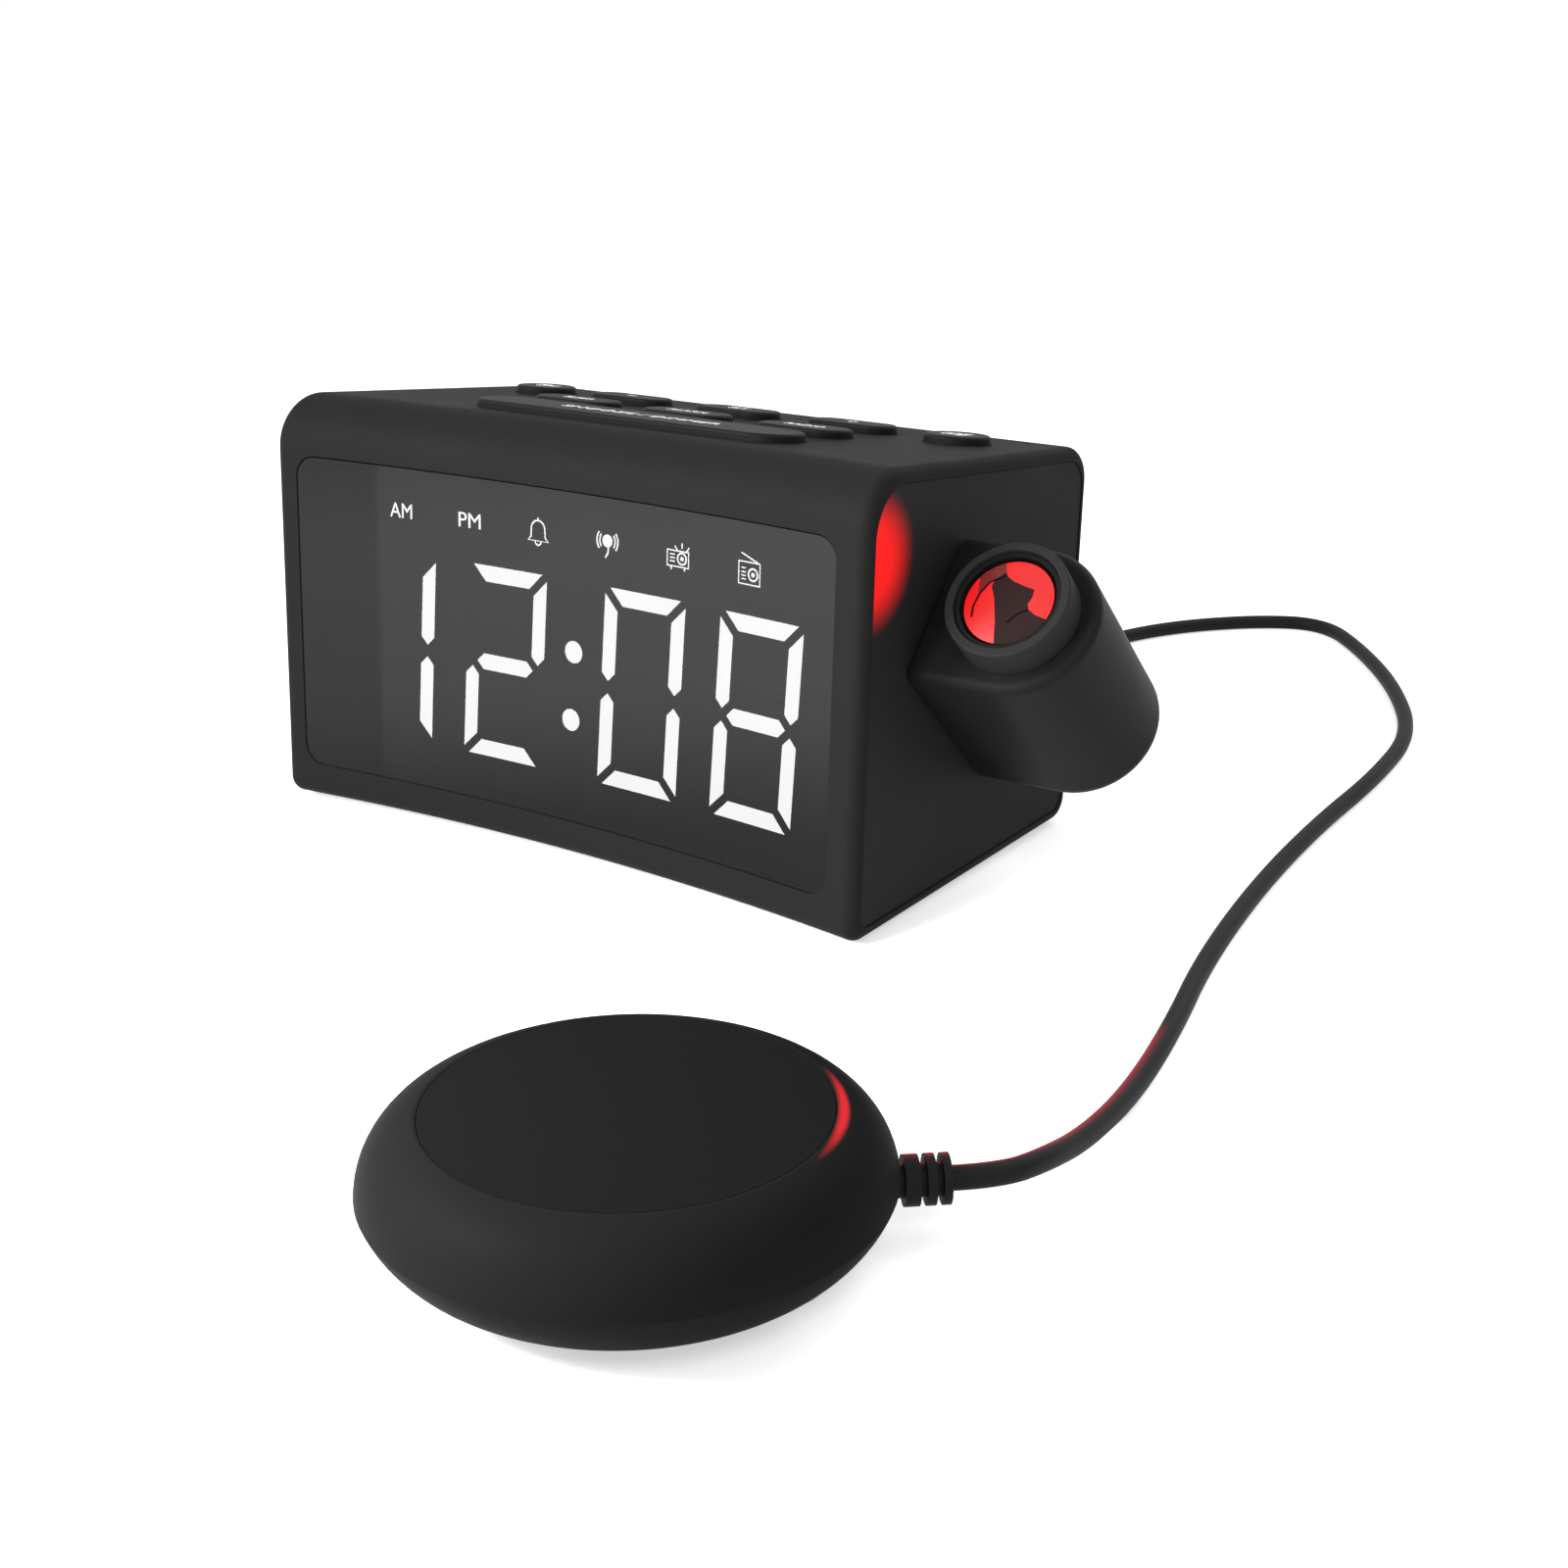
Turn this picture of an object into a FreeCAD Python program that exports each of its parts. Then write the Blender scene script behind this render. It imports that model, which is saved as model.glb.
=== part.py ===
"""Alarm clock with a projector arm and a bed shaker on a cord.

The clock stands on a table with its front towards -Y, X runs to the right and Z up.
The shaker lies in front of it on the same table, and its cord runs round to the rear.
All sizes are millimetres and degrees. The frame's origin is the middle of the base of
everything that stands on the table, without the cord.
"""
import FreeCAD, Part
import math
import os

# Case
case_width = 180.0
case_depth = 104.0
case_height = 104.5
case_lean = 2.8
top_slope = 5.6
side_taper = 2.3
front_sag = 7.0
front_top_radius = 13.0
rear_top_radius = 9.0
rear_bottom_radius = 6.0
front_bottom_radius = 4.5
side_edge_radius = 3.0
wall = 2.4
front_wall = 3.4
side_wall = 3.6
overrun = 5.0
tiny = 0.001

# Gaps between pieces
seat_gap = 0.15
slide_gap = 0.25
running_gap = 0.05
stop_gap = 0.1

# Rubber feet
foot_height = 1.2
foot_length_share = 0.259615
foot_width = 8.0
foot_recess = 0.8
foot_side_inset = 11.0
foot_front_share = 0.451923
foot_rear_share = 0.788462

# End panels in the sides of the case
panel_margin = 3.2
panel_thickness = 1.6
panel_recess = 0.25

# Display window
window_left = 7.0
window_right = 8.7
window_bottom = 9.5
window_top_margin = 14.7
window_radius = 5.5
window_recess = 0.3
window_thickness = 1.8
window_ledge = 2.5

# Digits, measured along the leaned front from the underside of the case
digit_bottom_share = 0.194258
digit_height_share = 0.45933
digit_width_share = 0.136111
digit_slant = 2.9
segment_width = 4.0
segment_gap = 2.1
segment_depth = 2.6
digit_pitch_share = 0.194444
first_digit_share = -0.38
colon_extra_share = 0.042222
colon_radius = 2.7
colon_low_share = 0.29
colon_high_share = 0.64
colon_x_share = 0.001111

# Display mask, display board and their screws
mask_gap = 0.2
mask_back_y = 13.6
board_thickness = 1.6
display_board_inset = 10.0
display_board_bottom = 3.4
display_board_margin = 7.5
display_post_radius = 2.6
display_post_inset = 18.0
display_post_low = 6.2
display_post_margin = 10.3
screw_radius = 1.1
screw_head_radius = 2.4
screw_head_height = 1.4
screw_length = 6.0

# Keys on the top: places along the slope from the front edge of the top
key_rise = 2.0
key_travel = 0.8
key_edge_radius = 0.8
key_flange = 1.2
key_flange_thickness = 1.2
key_stem_radius = 1.7
key_stem_bottom = 9.5
snooze_width_share = 0.533333
snooze_depth_share = 0.168269
snooze_share = 0.324038
pill_width_share = 0.138889
pill_depth_share = 0.115385
pill_row_share = 0.521154
pill_pitch_share = 0.196667
back_width_share = 0.133333
back_depth_share = 0.105769
back_row_share = 0.724038
back_pitch_share = 0.194444
round_diameter_share = 0.153846
round_share = 0.361111
snooze_stem_share = 0.25
switch_width = 6.0
switch_height = 3.4
key_board_inset = 13.0
key_board_front = 22.0
key_board_margin = 11.0
key_post_radius = 2.5
key_post_inset = 17.0
key_post_front_y = 28.0
key_post_middle_share = 0.548077
key_post_rear_share = 0.097222
key_post_margin = 16.0

# Rear cover
cover_inset = 15.0
cover_bottom = 8.5
cover_margin = 22.5
cover_radius = 5.0
lug_width = 10.0
lug_height = 8.0
lug_depth = 9.0
lug_inset = 5.0
counterbore_radius = 2.9
counterbore_depth = 1.5

# Speaker behind the rear cover
speaker_inset = 54.0
speaker_height_share = 0.478469
speaker_radius = 20.0
speaker_rim = 2.0
cone_radius = 17.0
cone_depth = 6.0
magnet_radius = 9.0
magnet_depth = 7.0
grille_slots = 7
grille_pitch = 4.6
grille_slot_height = 1.8

# Main board and the sockets at the rear
main_board_left = -28.0
main_board_inset = 28.0
main_board_front = 30.0
main_board_z = 8.6
main_board_post_radius = 2.5
main_board_post_inset = 5.0
socket_width = 11.0
socket_height = 11.0
socket_depth = 14.0
socket_collar_radius = 4.0
socket_collar_depth = 3.2
collar_gap = 0.4
dc_jack_x = -14.0
dc_bore_radius = 2.85
dc_bore_depth = 10.0
dc_pin_radius = 1.0
dc_pin_inset = 2.5
shaker_jack_x = 24.0
plug_tip_radius = 1.75
plug_tip_length = 13.0
chip_width = 14.0
chip_height = 2.0
capacitor_radius = 4.0
capacitor_height = 11.0
transformer_width = 16.0
transformer_height = 12.0

# Back-up cell and its cap in the underside
cell_inset = 34.0
cell_row_share = 0.5
cell_radius = 10.0
cell_thickness = 3.2
cap_radius = 13.0
cap_thickness = 1.6
cap_slot_width = 2.0
cap_slot_length = 14.0
cap_slot_depth = 0.7
bay_wall = 1.5
bay_height = 7.0
contact_thickness = 0.4
contact_width = 8.0

# Projector arm: local x leaves the side of the case, z is the way the lens looks
pivot_row_share = 0.5326923
pivot_height_share = 0.4861244
arm_tilt = 47.0
arm_gap = 0.6
arm_half_width = 18.2
arm_round_x = 20.7
arm_to_face = 31.0
arm_to_base = 21.4
arm_wall = 2.0
arm_base_radius = 5.5
arm_face_radius = 2.2
arm_plate_thickness = 2.0
arm_post_e = 12.9
arm_post_radius = 2.3
arm_post_low = -15.9
arm_post_high = 2.9

# Pivot of the arm
shaft_radius = 7.0
shaft_bore_radius = 4.5
shaft_flange_radius = 9.5
shaft_flange_thickness = 1.6
bush_radius = 9.0
bush_flange_radius = 10.8
bush_flange_thickness = 1.0
pivot_boss_radius = 12.0
pivot_boss_depth = 4.5
washer_thickness = 0.8
washer_radius = 9.6
clip_radius = 10.0
clip_thickness = 1.4
shaft_end_length = 1.0

# Lens barrel on the arm's face
ring_radius = 14.1
ring_height = 8.0
ring_lip_height = 1.2
ring_lip_radius = 12.05
ring_edge_radius = 0.5
ring_start = 0.25
guide_radius = 12.7
guide_bore_radius = 11.9
guide_height = 6.5
cell_tube_bore = 9.9
lens_tube_bottom = -8.0
lens_tube_top = 7.2
lens_radius = 10.8
lens_edge_thickness = 1.6
lens_seat = 2.4
lens_crown = 0.9
focus_turn = 90.0
focus_travel = 0.8

# Light parts in the arm, measured down from its face
slide_tube_radius = 10.4
slide_tube_bore = 8.5
slide_tube_top = -9.4
lamp_board_top = -24.0
lamp_board_inset = 0.2
slide_depth = -11.6
slide_thickness = 1.2
condenser_depth = -18.0
condenser_thickness = 4.0
condenser_crown = 1.6
lamp_radius = 2.5
lamp_height = 2.6
shelf_height = 1.0

# Shaker: places are measured from its own middle on the table
shaker_x = 127.0
shaker_y = -121.0
shaker_radius = 44.7
shaker_equator = 13.2
shaker_crease_share = 0.776286
shaker_crease_height = 25.6
shaker_crown_height = 26.6
shaker_bevel_bulge = 2.6
shaker_base_share = 0.693512
shaker_base_height = 1.6
shaker_belly_bulge = 2.4
shaker_wall = 2.2
shaker_parting = 9.0
disc_edge = 0.7
disc_thickness = 1.8
disc_seat_width = 2.5
pad_margin = 2.5
pad_recess = 0.7
shaker_screw_inset = 8.2
shaker_post_radius = 3.0
shaker_screw_count = 4

# Shaker motor
motor_radius = 8.0
motor_length = 26.0
motor_start = -21.0
motor_height = 13.2
motor_shaft_radius = 1.15
motor_shaft_out = 10.0
motor_shaft_in = 18.0
weight_radius = 8.2
weight_thickness = 7.0
weight_gap = 1.4
weight_hub_radius = 2.6
cradle_width = 22.0
cradle_length = 18.0
cradle_start = -18.0
cradle_gap = 0.05
strap_thickness = 1.2

# Strain relief on the shaker's side
relief_angle = 42.0
relief_height = 9.0
relief_core_radius = 2.9
relief_rib_radius = 4.4
relief_neck_length = 3.1
relief_rib_lengths = (2.6, 1.6, 1.4)
relief_slot_length = 1.15
relief_flange_radius = 4.6
relief_flange_thickness = 1.4
relief_flange_depth = 4.4

# Cord and its plug
cord_radius = 2.2
cord_arc_share = 0.45
plug_radius = 4.6
plug_length = 15.0
plug_taper_length = 11.0
plug_taper_radius = 3.0
cord_relief_lead = 8.8
cord_plug_lead = 13.0
cord_route = [
    (176.0, -69.3, 8.2),
    (175.0, -52.0, 4.6),
    (171.6, -27.0, 2.2),
    (165.3, 3.0, 2.2),
    (156.0, 37.0, 2.2),
    (147.6, 83.0, 2.2),
    (142.4, 130.0, 2.2),
    (140.3, 176.0, 2.2),
    (134.2, 219.0, 2.2),
    (113.5, 261.0, 2.2),
    (89.0, 296.0, 2.2),
    (66.5, 320.5, 2.2),
    (45.0, 310.5, 2.2),
    (23.5, 283.0, 2.2),
    (13.5, 246.0, 2.2),
    (15.0, 209.0, 2.2),
    (21.8, 181.0, 2.2),
    (24.0, 160.0, 7.6),
]

X_AXIS = FreeCAD.Vector(1, 0, 0)
Y_AXIS = FreeCAD.Vector(0, 1, 0)
Z_AXIS = FreeCAD.Vector(0, 0, 1)
foot_length = foot_length_share * case_depth
foot_front_y = foot_front_share * case_depth
foot_rear_y = foot_rear_share * case_depth
window_top = case_height - window_top_margin
digit_bottom = digit_bottom_share * case_height
digit_height = digit_height_share * case_height
digit_width = digit_width_share * case_width
digit_pitch = digit_pitch_share * case_width
first_digit_x = first_digit_share * case_width
colon_extra = colon_extra_share * case_width
colon_x = colon_x_share * case_width
display_board_half = case_width / 2 - display_board_inset
display_board_top = case_height - display_board_margin
display_post_x = case_width / 2 - display_post_inset
display_post_high = case_height - display_post_margin
snooze_width = snooze_width_share * case_width
snooze_depth = snooze_depth_share * case_depth
snooze_y = snooze_share * case_depth
snooze_stem_x = snooze_stem_share * snooze_width
pill_width = pill_width_share * case_width
pill_depth = pill_depth_share * case_depth
pill_y = pill_row_share * case_depth
pill_pitch = pill_pitch_share * case_width
back_width = back_width_share * case_width
back_depth = back_depth_share * case_depth
back_y = back_row_share * case_depth
back_pitch = back_pitch_share * case_width
round_diameter = round_diameter_share * case_depth
round_x = round_share * case_width
key_board_half = case_width / 2 - key_board_inset
key_board_rear = case_depth - key_board_margin
key_post_side_x = case_width / 2 - key_post_inset
key_post_middle_y = key_post_middle_share * case_depth
key_post_rear_x = key_post_rear_share * case_width
key_post_rear_y = case_depth - key_post_margin
cover_half_width = case_width / 2 - cover_inset
cover_top = case_height - cover_margin
speaker_x = speaker_inset - case_width / 2
speaker_z = speaker_height_share * case_height
main_board_right = case_width / 2 - main_board_inset
cell_x = cell_inset - case_width / 2
cell_y = cell_row_share * case_depth
pivot_y = pivot_row_share * case_depth
pivot_z = pivot_height_share * case_height
shaker_crease_radius = shaker_crease_share * shaker_radius
shaker_base_radius = shaker_base_share * shaker_radius
disc_radius = shaker_crease_radius - disc_edge
pad_radius = shaker_base_radius - pad_margin
shaker_screw_circle = shaker_radius - shaker_screw_inset
lean_tangent = math.tan(math.radians(case_lean))
slope_tangent = math.tan(math.radians(top_slope))
taper_tangent = math.tan(math.radians(side_taper))


def vector(x, y, z):
    return FreeCAD.Vector(x, y, z)


def rounded_face(corners, radii):
    """Face through the corners, each rounded by its own radius."""
    starts = []
    middles = []
    ends = []
    for index, corner in enumerate(corners):
        to_last = (corners[index - 1] - corner).normalize()
        to_next = (corners[(index + 1) % len(corners)] - corner).normalize()
        half_angle = to_last.getAngle(to_next) / 2
        reach = radii[index] / math.tan(half_angle)
        middle_way = (to_last + to_next).normalize()
        centre = corner + middle_way * (radii[index] / math.sin(half_angle))
        starts.append(corner + to_last * reach)
        middles.append(centre - middle_way * radii[index])
        ends.append(corner + to_next * reach)
    edges = []
    for index in range(len(corners)):
        if radii[index] > 0:
            edges.append(Part.Arc(starts[index], middles[index], ends[index]).toShape())
        following = starts[(index + 1) % len(corners)]
        if ends[index].distanceToPoint(following) > tiny:
            edges.append(Part.makeLine(ends[index], following))
    return Part.Face(Part.Wire(edges))


def rounded_plate(x, y, width, depth, radius, low, high):
    """Plate with rounded corners round x, y from one height to another."""
    corners = [
        vector(x - width / 2, y - depth / 2, low),
        vector(x + width / 2, y - depth / 2, low),
        vector(x + width / 2, y + depth / 2, low),
        vector(x - width / 2, y + depth / 2, low),
    ]
    face = rounded_face(corners, [radius] * len(corners))
    return face.extrude(Z_AXIS * (high - low))


def block(x_low, x_high, y_low, y_high, z_low, z_high):
    corner = vector(x_low, y_low, z_low)
    return Part.makeBox(x_high - x_low, y_high - y_low, z_high - z_low, corner)


def rod(start, direction, radius, length):
    return Part.makeCylinder(radius, length, start, direction)


def tube(start, direction, outer, inner, length):
    return rod(start, direction, outer, length).cut(rod(start, direction, inner, length))


def turned(profile):
    """Solid of a closed profile of radius and height points, turned about Z."""
    points = [vector(radius, 0, height) for radius, height in profile]
    wire = Part.makePolygon(points + points[:1])
    return Part.Face(wire).revolve(FreeCAD.Vector(), Z_AXIS, 360)


def placed(shape, placement):
    copy = shape.copy()
    copy.Placement = placement.multiply(copy.Placement)
    return copy


def moved(shape, x, y, z):
    copy = shape.copy()
    copy.translate(vector(x, y, z))
    return copy


def group(solids):
    return Part.makeCompound(solids)


def leaned_placement(y, z):
    """Frame on the case whose upright axis leans back with the front."""
    return FreeCAD.Placement(vector(0, y, z), FreeCAD.Rotation(X_AXIS, -case_lean))


front_frame = leaned_placement(0, foot_height)
rear_frame = leaned_placement(case_depth, foot_height)
top_frame = FreeCAD.Placement(
    vector(0, lean_tangent * case_height, foot_height + case_height),
    FreeCAD.Rotation(X_AXIS, -top_slope))
side_normal = vector(1, taper_tangent, -taper_tangent * lean_tangent).normalize()
side_along = vector(-taper_tangent, 1, 0).normalize()
side_up = side_normal.cross(side_along)


def side_x(y, height):
    """Half width of the case at a depth and a height above its underside."""
    return case_width / 2 - taper_tangent * (y - lean_tangent * height)


pivot_frame = FreeCAD.Placement(
    vector(side_x(pivot_y, pivot_z - foot_height), pivot_y, pivot_z),
    FreeCAD.Rotation(side_normal, side_along, side_up, "XYZ"))
arm_frame = pivot_frame.multiply(
    FreeCAD.Placement(FreeCAD.Vector(), FreeCAD.Rotation(X_AXIS, arm_tilt)))


def top_meets(y, inset):
    """Height above the underside where a leaned line from y meets the inset top."""
    level = case_height - inset / math.cos(math.radians(top_slope))
    rise = level - slope_tangent * (y - lean_tangent * case_height)
    return rise / (1 + slope_tangent * lean_tangent)


def side_profile(inset, front_y, radii, half_span):
    """Side outline of the case, inset from the top, rear and underside, along X."""
    rear_y = case_depth - inset / math.cos(math.radians(case_lean))
    corners = []
    for y, height in (
            (front_y, inset),
            (rear_y, inset),
            (rear_y, top_meets(rear_y, inset)),
            (front_y, top_meets(front_y, inset))):
        corners.append(vector(-half_span, y + lean_tangent * height, foot_height + height))
    return rounded_face(corners, radii).extrude(X_AXIS * (2 * half_span))


def plan_prism(side_inset):
    """Everything between the two tapered sides, inset by side_inset."""
    half = case_width / 2 - side_inset
    front_y = -2 * overrun
    rear_y = case_depth + 2 * overrun
    below = -2 * overrun
    corners = []
    for side, y in ((-1, front_y), (1, front_y), (1, rear_y), (-1, rear_y)):
        x = side * (half - taper_tangent * y)
        corners.append(vector(x, y + lean_tangent * below, foot_height + below))
    face = Part.Face(Part.makePolygon(corners + corners[:1]))
    length = case_height + 4 * overrun
    return face.extrude(vector(0, lean_tangent * length, length))


def front_cylinder(inset):
    """The round that hollows the front, grown by inset."""
    hollow = ((case_width / 2) ** 2 + front_sag ** 2) / (2 * front_sag)
    drum = rod(vector(0, front_sag - hollow, -2 * overrun), Z_AXIS,
               hollow + inset, case_height + 4 * overrun)
    return placed(drum, front_frame)


def front_edges(body, upper):
    """The long edge between the hollow front and the top or the underside."""
    chosen = []
    for edge in body.Edges:
        box = edge.BoundBox
        high = box.Center.z > case_height / 2
        if box.XLength > case_width / 2 and box.Center.y < case_depth / 4 and high == upper:
            chosen.append(edge)
    return chosen


def case_body(inset, front_inset, side_inset):
    """The form of the case, inset from its top, rear, underside, front and sides."""
    radii = [0, rear_bottom_radius - inset, rear_top_radius - inset, 0]
    profile = side_profile(inset, -overrun, radii, case_width)
    body = plan_prism(side_inset).common(profile).cut(front_cylinder(front_inset))
    body = body.makeFillet(front_top_radius - front_inset, front_edges(body, True))
    return body.makeFillet(front_bottom_radius - inset, front_edges(body, False))


def side_edges(body):
    """Edges that lie in the two side faces of the case."""
    chosen = []
    for edge in body.Edges:
        inside = False
        for share in (0, 0.5, 1):
            span = edge.LastParameter - edge.FirstParameter
            point = edge.valueAt(edge.FirstParameter + share * span)
            reach = side_x(point.y, point.z - foot_height)
            inside = inside or abs(abs(point.x) - reach) > tiny
        if not inside:
            chosen.append(edge)
    return chosen


def side_slab(margin, outer, inner):
    """Plates in both sides of the case, within a margin of its outline."""
    radii = [
        front_bottom_radius - margin / 2,
        rear_bottom_radius - margin / 2,
        rear_top_radius - margin / 2,
        front_top_radius - margin / 2,
    ]
    profile = side_profile(margin, margin, radii, case_width)
    return plan_prism(outer).cut(plan_prism(inner)).common(profile)


def window_prism(inset, back_y):
    """Rounded window outline, inset, from in front of the case to back_y."""
    left = -case_width / 2 + window_left + inset
    right = case_width / 2 - window_right - inset
    corners = []
    for x, z in (
            (left, window_bottom + inset),
            (right, window_bottom + inset),
            (right, window_top - inset),
            (left, window_top - inset)):
        corners.append(vector(x, -overrun, z))
    radius = max(window_radius - inset, window_radius / 3)
    face = rounded_face(corners, [radius] * len(corners))
    return placed(face.extrude(Y_AXIS * (back_y + overrun)), front_frame)


def key_outline(width, depth, grow):
    """Half-round ended outline of a key, grown all round."""
    return width + 2 * grow, depth + 2 * grow, (depth + 2 * grow) / 2 - tiny


KEYS = {
    "snooze_bar": (0, snooze_y, snooze_width, snooze_depth, (-snooze_stem_x, snooze_stem_x)),
    "sleep_key": (-pill_pitch, pill_y, pill_width, pill_depth, (0,)),
    "alarm_key": (0, pill_y, pill_width, pill_depth, (0,)),
    "radio_key": (pill_pitch, pill_y, pill_width, pill_depth, (0,)),
    "minus_key": (-back_pitch, back_y, back_width, back_depth, (0,)),
    "set_key": (0, back_y, back_width, back_depth, (0,)),
    "plus_key": (back_pitch, back_y, back_width, back_depth, (0,)),
    "shaker_key": (-round_x, back_y, round_diameter, round_diameter, (0,)),
    "projector_key": (round_x, back_y, round_diameter, round_diameter, (0,)),
}
KEY_POSTS = [(side * key_post_side_x, y)
             for side in (-1, 1)
             for y in (key_post_front_y, key_post_middle_y)]
KEY_POSTS += [(side * key_post_rear_x, key_post_rear_y) for side in (-1, 1)]
switch_top = -key_stem_bottom - key_travel - stop_gap
key_board_top = switch_top - switch_height
DISPLAY_POSTS = [(side * display_post_x, z)
                 for side in (-1, 1)
                 for z in (display_post_low, display_post_high)]
COVER_SCREWS = [(side * (cover_half_width - lug_inset), z)
                for side in (-1, 1)
                for z in (cover_bottom + lug_inset, cover_top - lug_inset)]
FEET = [(side * (case_width / 2 - foot_side_inset), y)
        for side in (-1, 1)
        for y in (foot_front_y, foot_rear_y)]
main_board_rear = case_depth - wall - socket_collar_depth
MAIN_POSTS = [(x, y)
              for x in (main_board_left + main_board_post_inset,
                        main_board_right - main_board_post_inset)
              for y in (main_board_front + main_board_post_inset,
                        main_board_rear - main_board_post_inset)]
underside_inner = foot_height + wall
main_board_top = main_board_z + board_thickness
socket_z = main_board_top + socket_height / 2
bay_radius = cap_radius + bay_wall + seat_gap


def key_prism(name, grow, low, high):
    x, y, width, depth, _ = KEYS[name]
    wide, deep, radius = key_outline(width, depth, grow)
    return rounded_plate(x, y, wide, deep, radius, low, high)


def key(name):
    """A key: its cap through the top, its flange under it and its stems."""
    x, y, _, _, stems = KEYS[name]
    cap = key_prism(name, 0, -wall - stop_gap, key_rise)
    rim = [edge for edge in cap.Edges if edge.BoundBox.ZMin > key_rise - tiny]
    cap = cap.makeFillet(key_edge_radius, rim)
    flange_top = -wall - stop_gap
    flange = key_prism(name, key_flange, flange_top - key_flange_thickness, flange_top)
    body = cap.fuse(flange)
    stem_length = key_stem_bottom + flange_top - key_flange_thickness
    for stem_x in stems:
        foot = vector(x + stem_x, y, -key_stem_bottom)
        body = body.fuse(rod(foot, Z_AXIS, key_stem_radius, stem_length))
    return placed(body.removeSplitter(), top_frame)


def case_shell():
    """One moulding: front frame, top, sides, rear rim and underside."""
    body = case_body(0, 0, 0)
    body = body.makeFillet(side_edge_radius, side_edges(body))
    cavity = case_body(wall, front_wall, side_wall)
    shell = body.cut(cavity)
    posts = [case_posts().common(body), rear_lugs(), pivot_boss(), cell_bay()]
    shell = shell.fuse(posts).removeSplitter()
    cuts = [
        side_slab(panel_margin, -overrun, panel_thickness),
        window_prism(window_ledge, front_sag + front_wall + tiny).common(
            front_cylinder(front_wall + overrun)),
        window_prism(0, mask_back_y).common(
            front_cylinder(window_recess + window_thickness)),
        rear_opening(),
        cap_recess(),
        pivot_bore(),
    ]
    cuts += [placed(key_prism_cut(name), top_frame) for name in KEYS]
    cuts += [foot_pocket(x, y) for x, y in FEET]
    cuts += screw_holes()
    return shell.cut(cuts)


def key_prism_cut(name):
    return key_prism(name, slide_gap, -wall - overrun, overrun)


def case_posts():
    """Posts that carry the display board, the key board and the main board."""
    posts = []
    for x, z in DISPLAY_POSTS:
        post = rod(vector(x, 0, z), Y_AXIS, display_post_radius, mask_back_y)
        posts.append(placed(post, front_frame))
    for x, y in KEY_POSTS:
        post = rod(vector(x, y, key_board_top), Z_AXIS, key_post_radius, -key_board_top - wall / 2)
        posts.append(placed(post, top_frame))
    for x, y in MAIN_POSTS:
        foot = vector(x, y, foot_height + wall / 2)
        height = main_board_z - foot.z
        posts.append(rod(foot, Z_AXIS, main_board_post_radius, height))
    return posts[0].fuse(posts[1:])


def rear_lugs():
    """Lugs on the inner side walls that the rear cover is screwed to."""
    lugs = []
    inner = cover_half_width - lug_inset - lug_width / 2
    for x, z in COVER_SCREWS:
        side = math.copysign(1, x)
        edges = sorted((side * inner, side * case_width / 2))
        lug = block(*edges, -wall - lug_depth, -wall, z - lug_height / 2, z + lug_height / 2)
        lugs.append(placed(lug, rear_frame).common(plan_prism(side_wall / 2)))
    return lugs[0].fuse(lugs[1:])


def screw_holes():
    holes = []
    for x, z in COVER_SCREWS:
        start = vector(x, -wall - screw_length, z)
        hole = rod(start, Y_AXIS, screw_radius + running_gap, screw_length + wall)
        holes.append(placed(hole, rear_frame))
    for x, z in DISPLAY_POSTS:
        start = vector(x, mask_back_y - screw_length, z)
        hole = rod(start, Y_AXIS, screw_radius + running_gap, screw_length + stop_gap)
        holes.append(placed(hole, front_frame))
    return holes


def rear_plate(gap, low_y, high_y):
    width = 2 * (cover_half_width - gap)
    height = cover_top - cover_bottom - 2 * gap
    middle = (cover_top + cover_bottom) / 2
    plate = rounded_plate(0, -middle, width, height, cover_radius - gap, low_y, high_y)
    turn = FreeCAD.Placement(FreeCAD.Vector(), FreeCAD.Rotation(X_AXIS, -90))
    return placed(placed(plate, turn), rear_frame)


def rear_opening():
    return rear_plate(0, -wall - tiny, overrun)


def pivot_boss():
    boss = rod(vector(-side_wall - pivot_boss_depth, 0, 0), X_AXIS, pivot_boss_radius,
               pivot_boss_depth + side_wall / 2)
    return placed(boss, pivot_frame)


def pivot_bore():
    depth = side_wall + pivot_boss_depth + overrun
    bore = rod(vector(-depth, 0, 0), X_AXIS, bush_radius, depth + overrun)
    return placed(bore, pivot_frame)


def cell_bay():
    """Cup over the back-up cell, on the inside of the underside."""
    start = vector(cell_x, cell_y, foot_height + wall / 2)
    return rod(start, Z_AXIS, bay_radius, bay_height + wall / 2)


def cap_recess():
    """The round recess for the cap and the space for the cell above it."""
    start = vector(cell_x, cell_y, 0)
    recess = rod(start, Z_AXIS, cap_radius + seat_gap, foot_height + cap_thickness)
    height = underside_inner + bay_height - bay_wall
    return recess.fuse(rod(start, Z_AXIS, cell_radius + seat_gap, height))


def foot_pocket(x, y):
    return rounded_plate(x, y, foot_width, foot_length, foot_width / 2 - tiny,
                         0, foot_height + foot_recess)


def rubber_feet():
    feet = []
    for x, y in FEET:
        feet.append(rounded_plate(x, y, foot_width - 2 * seat_gap, foot_length - 2 * seat_gap,
                                  foot_width / 2 - seat_gap - tiny, 0, foot_height + foot_recess))
    return group(feet)


def end_panel(side):
    slab = side_slab(panel_margin + seat_gap, panel_recess, panel_thickness)
    if side > 0:
        slab = slab.cut(pivot_bore())
    half = block(0, case_width, -case_depth, 2 * case_depth, -case_height, 2 * case_height)
    if side < 0:
        half = moved(half, -case_width, 0, 0)
    return slab.common(half)


def display_window():
    pane = window_prism(seat_gap, mask_back_y)
    pane = pane.common(front_cylinder(window_recess + window_thickness))
    return pane.cut(front_cylinder(window_recess))


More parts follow.
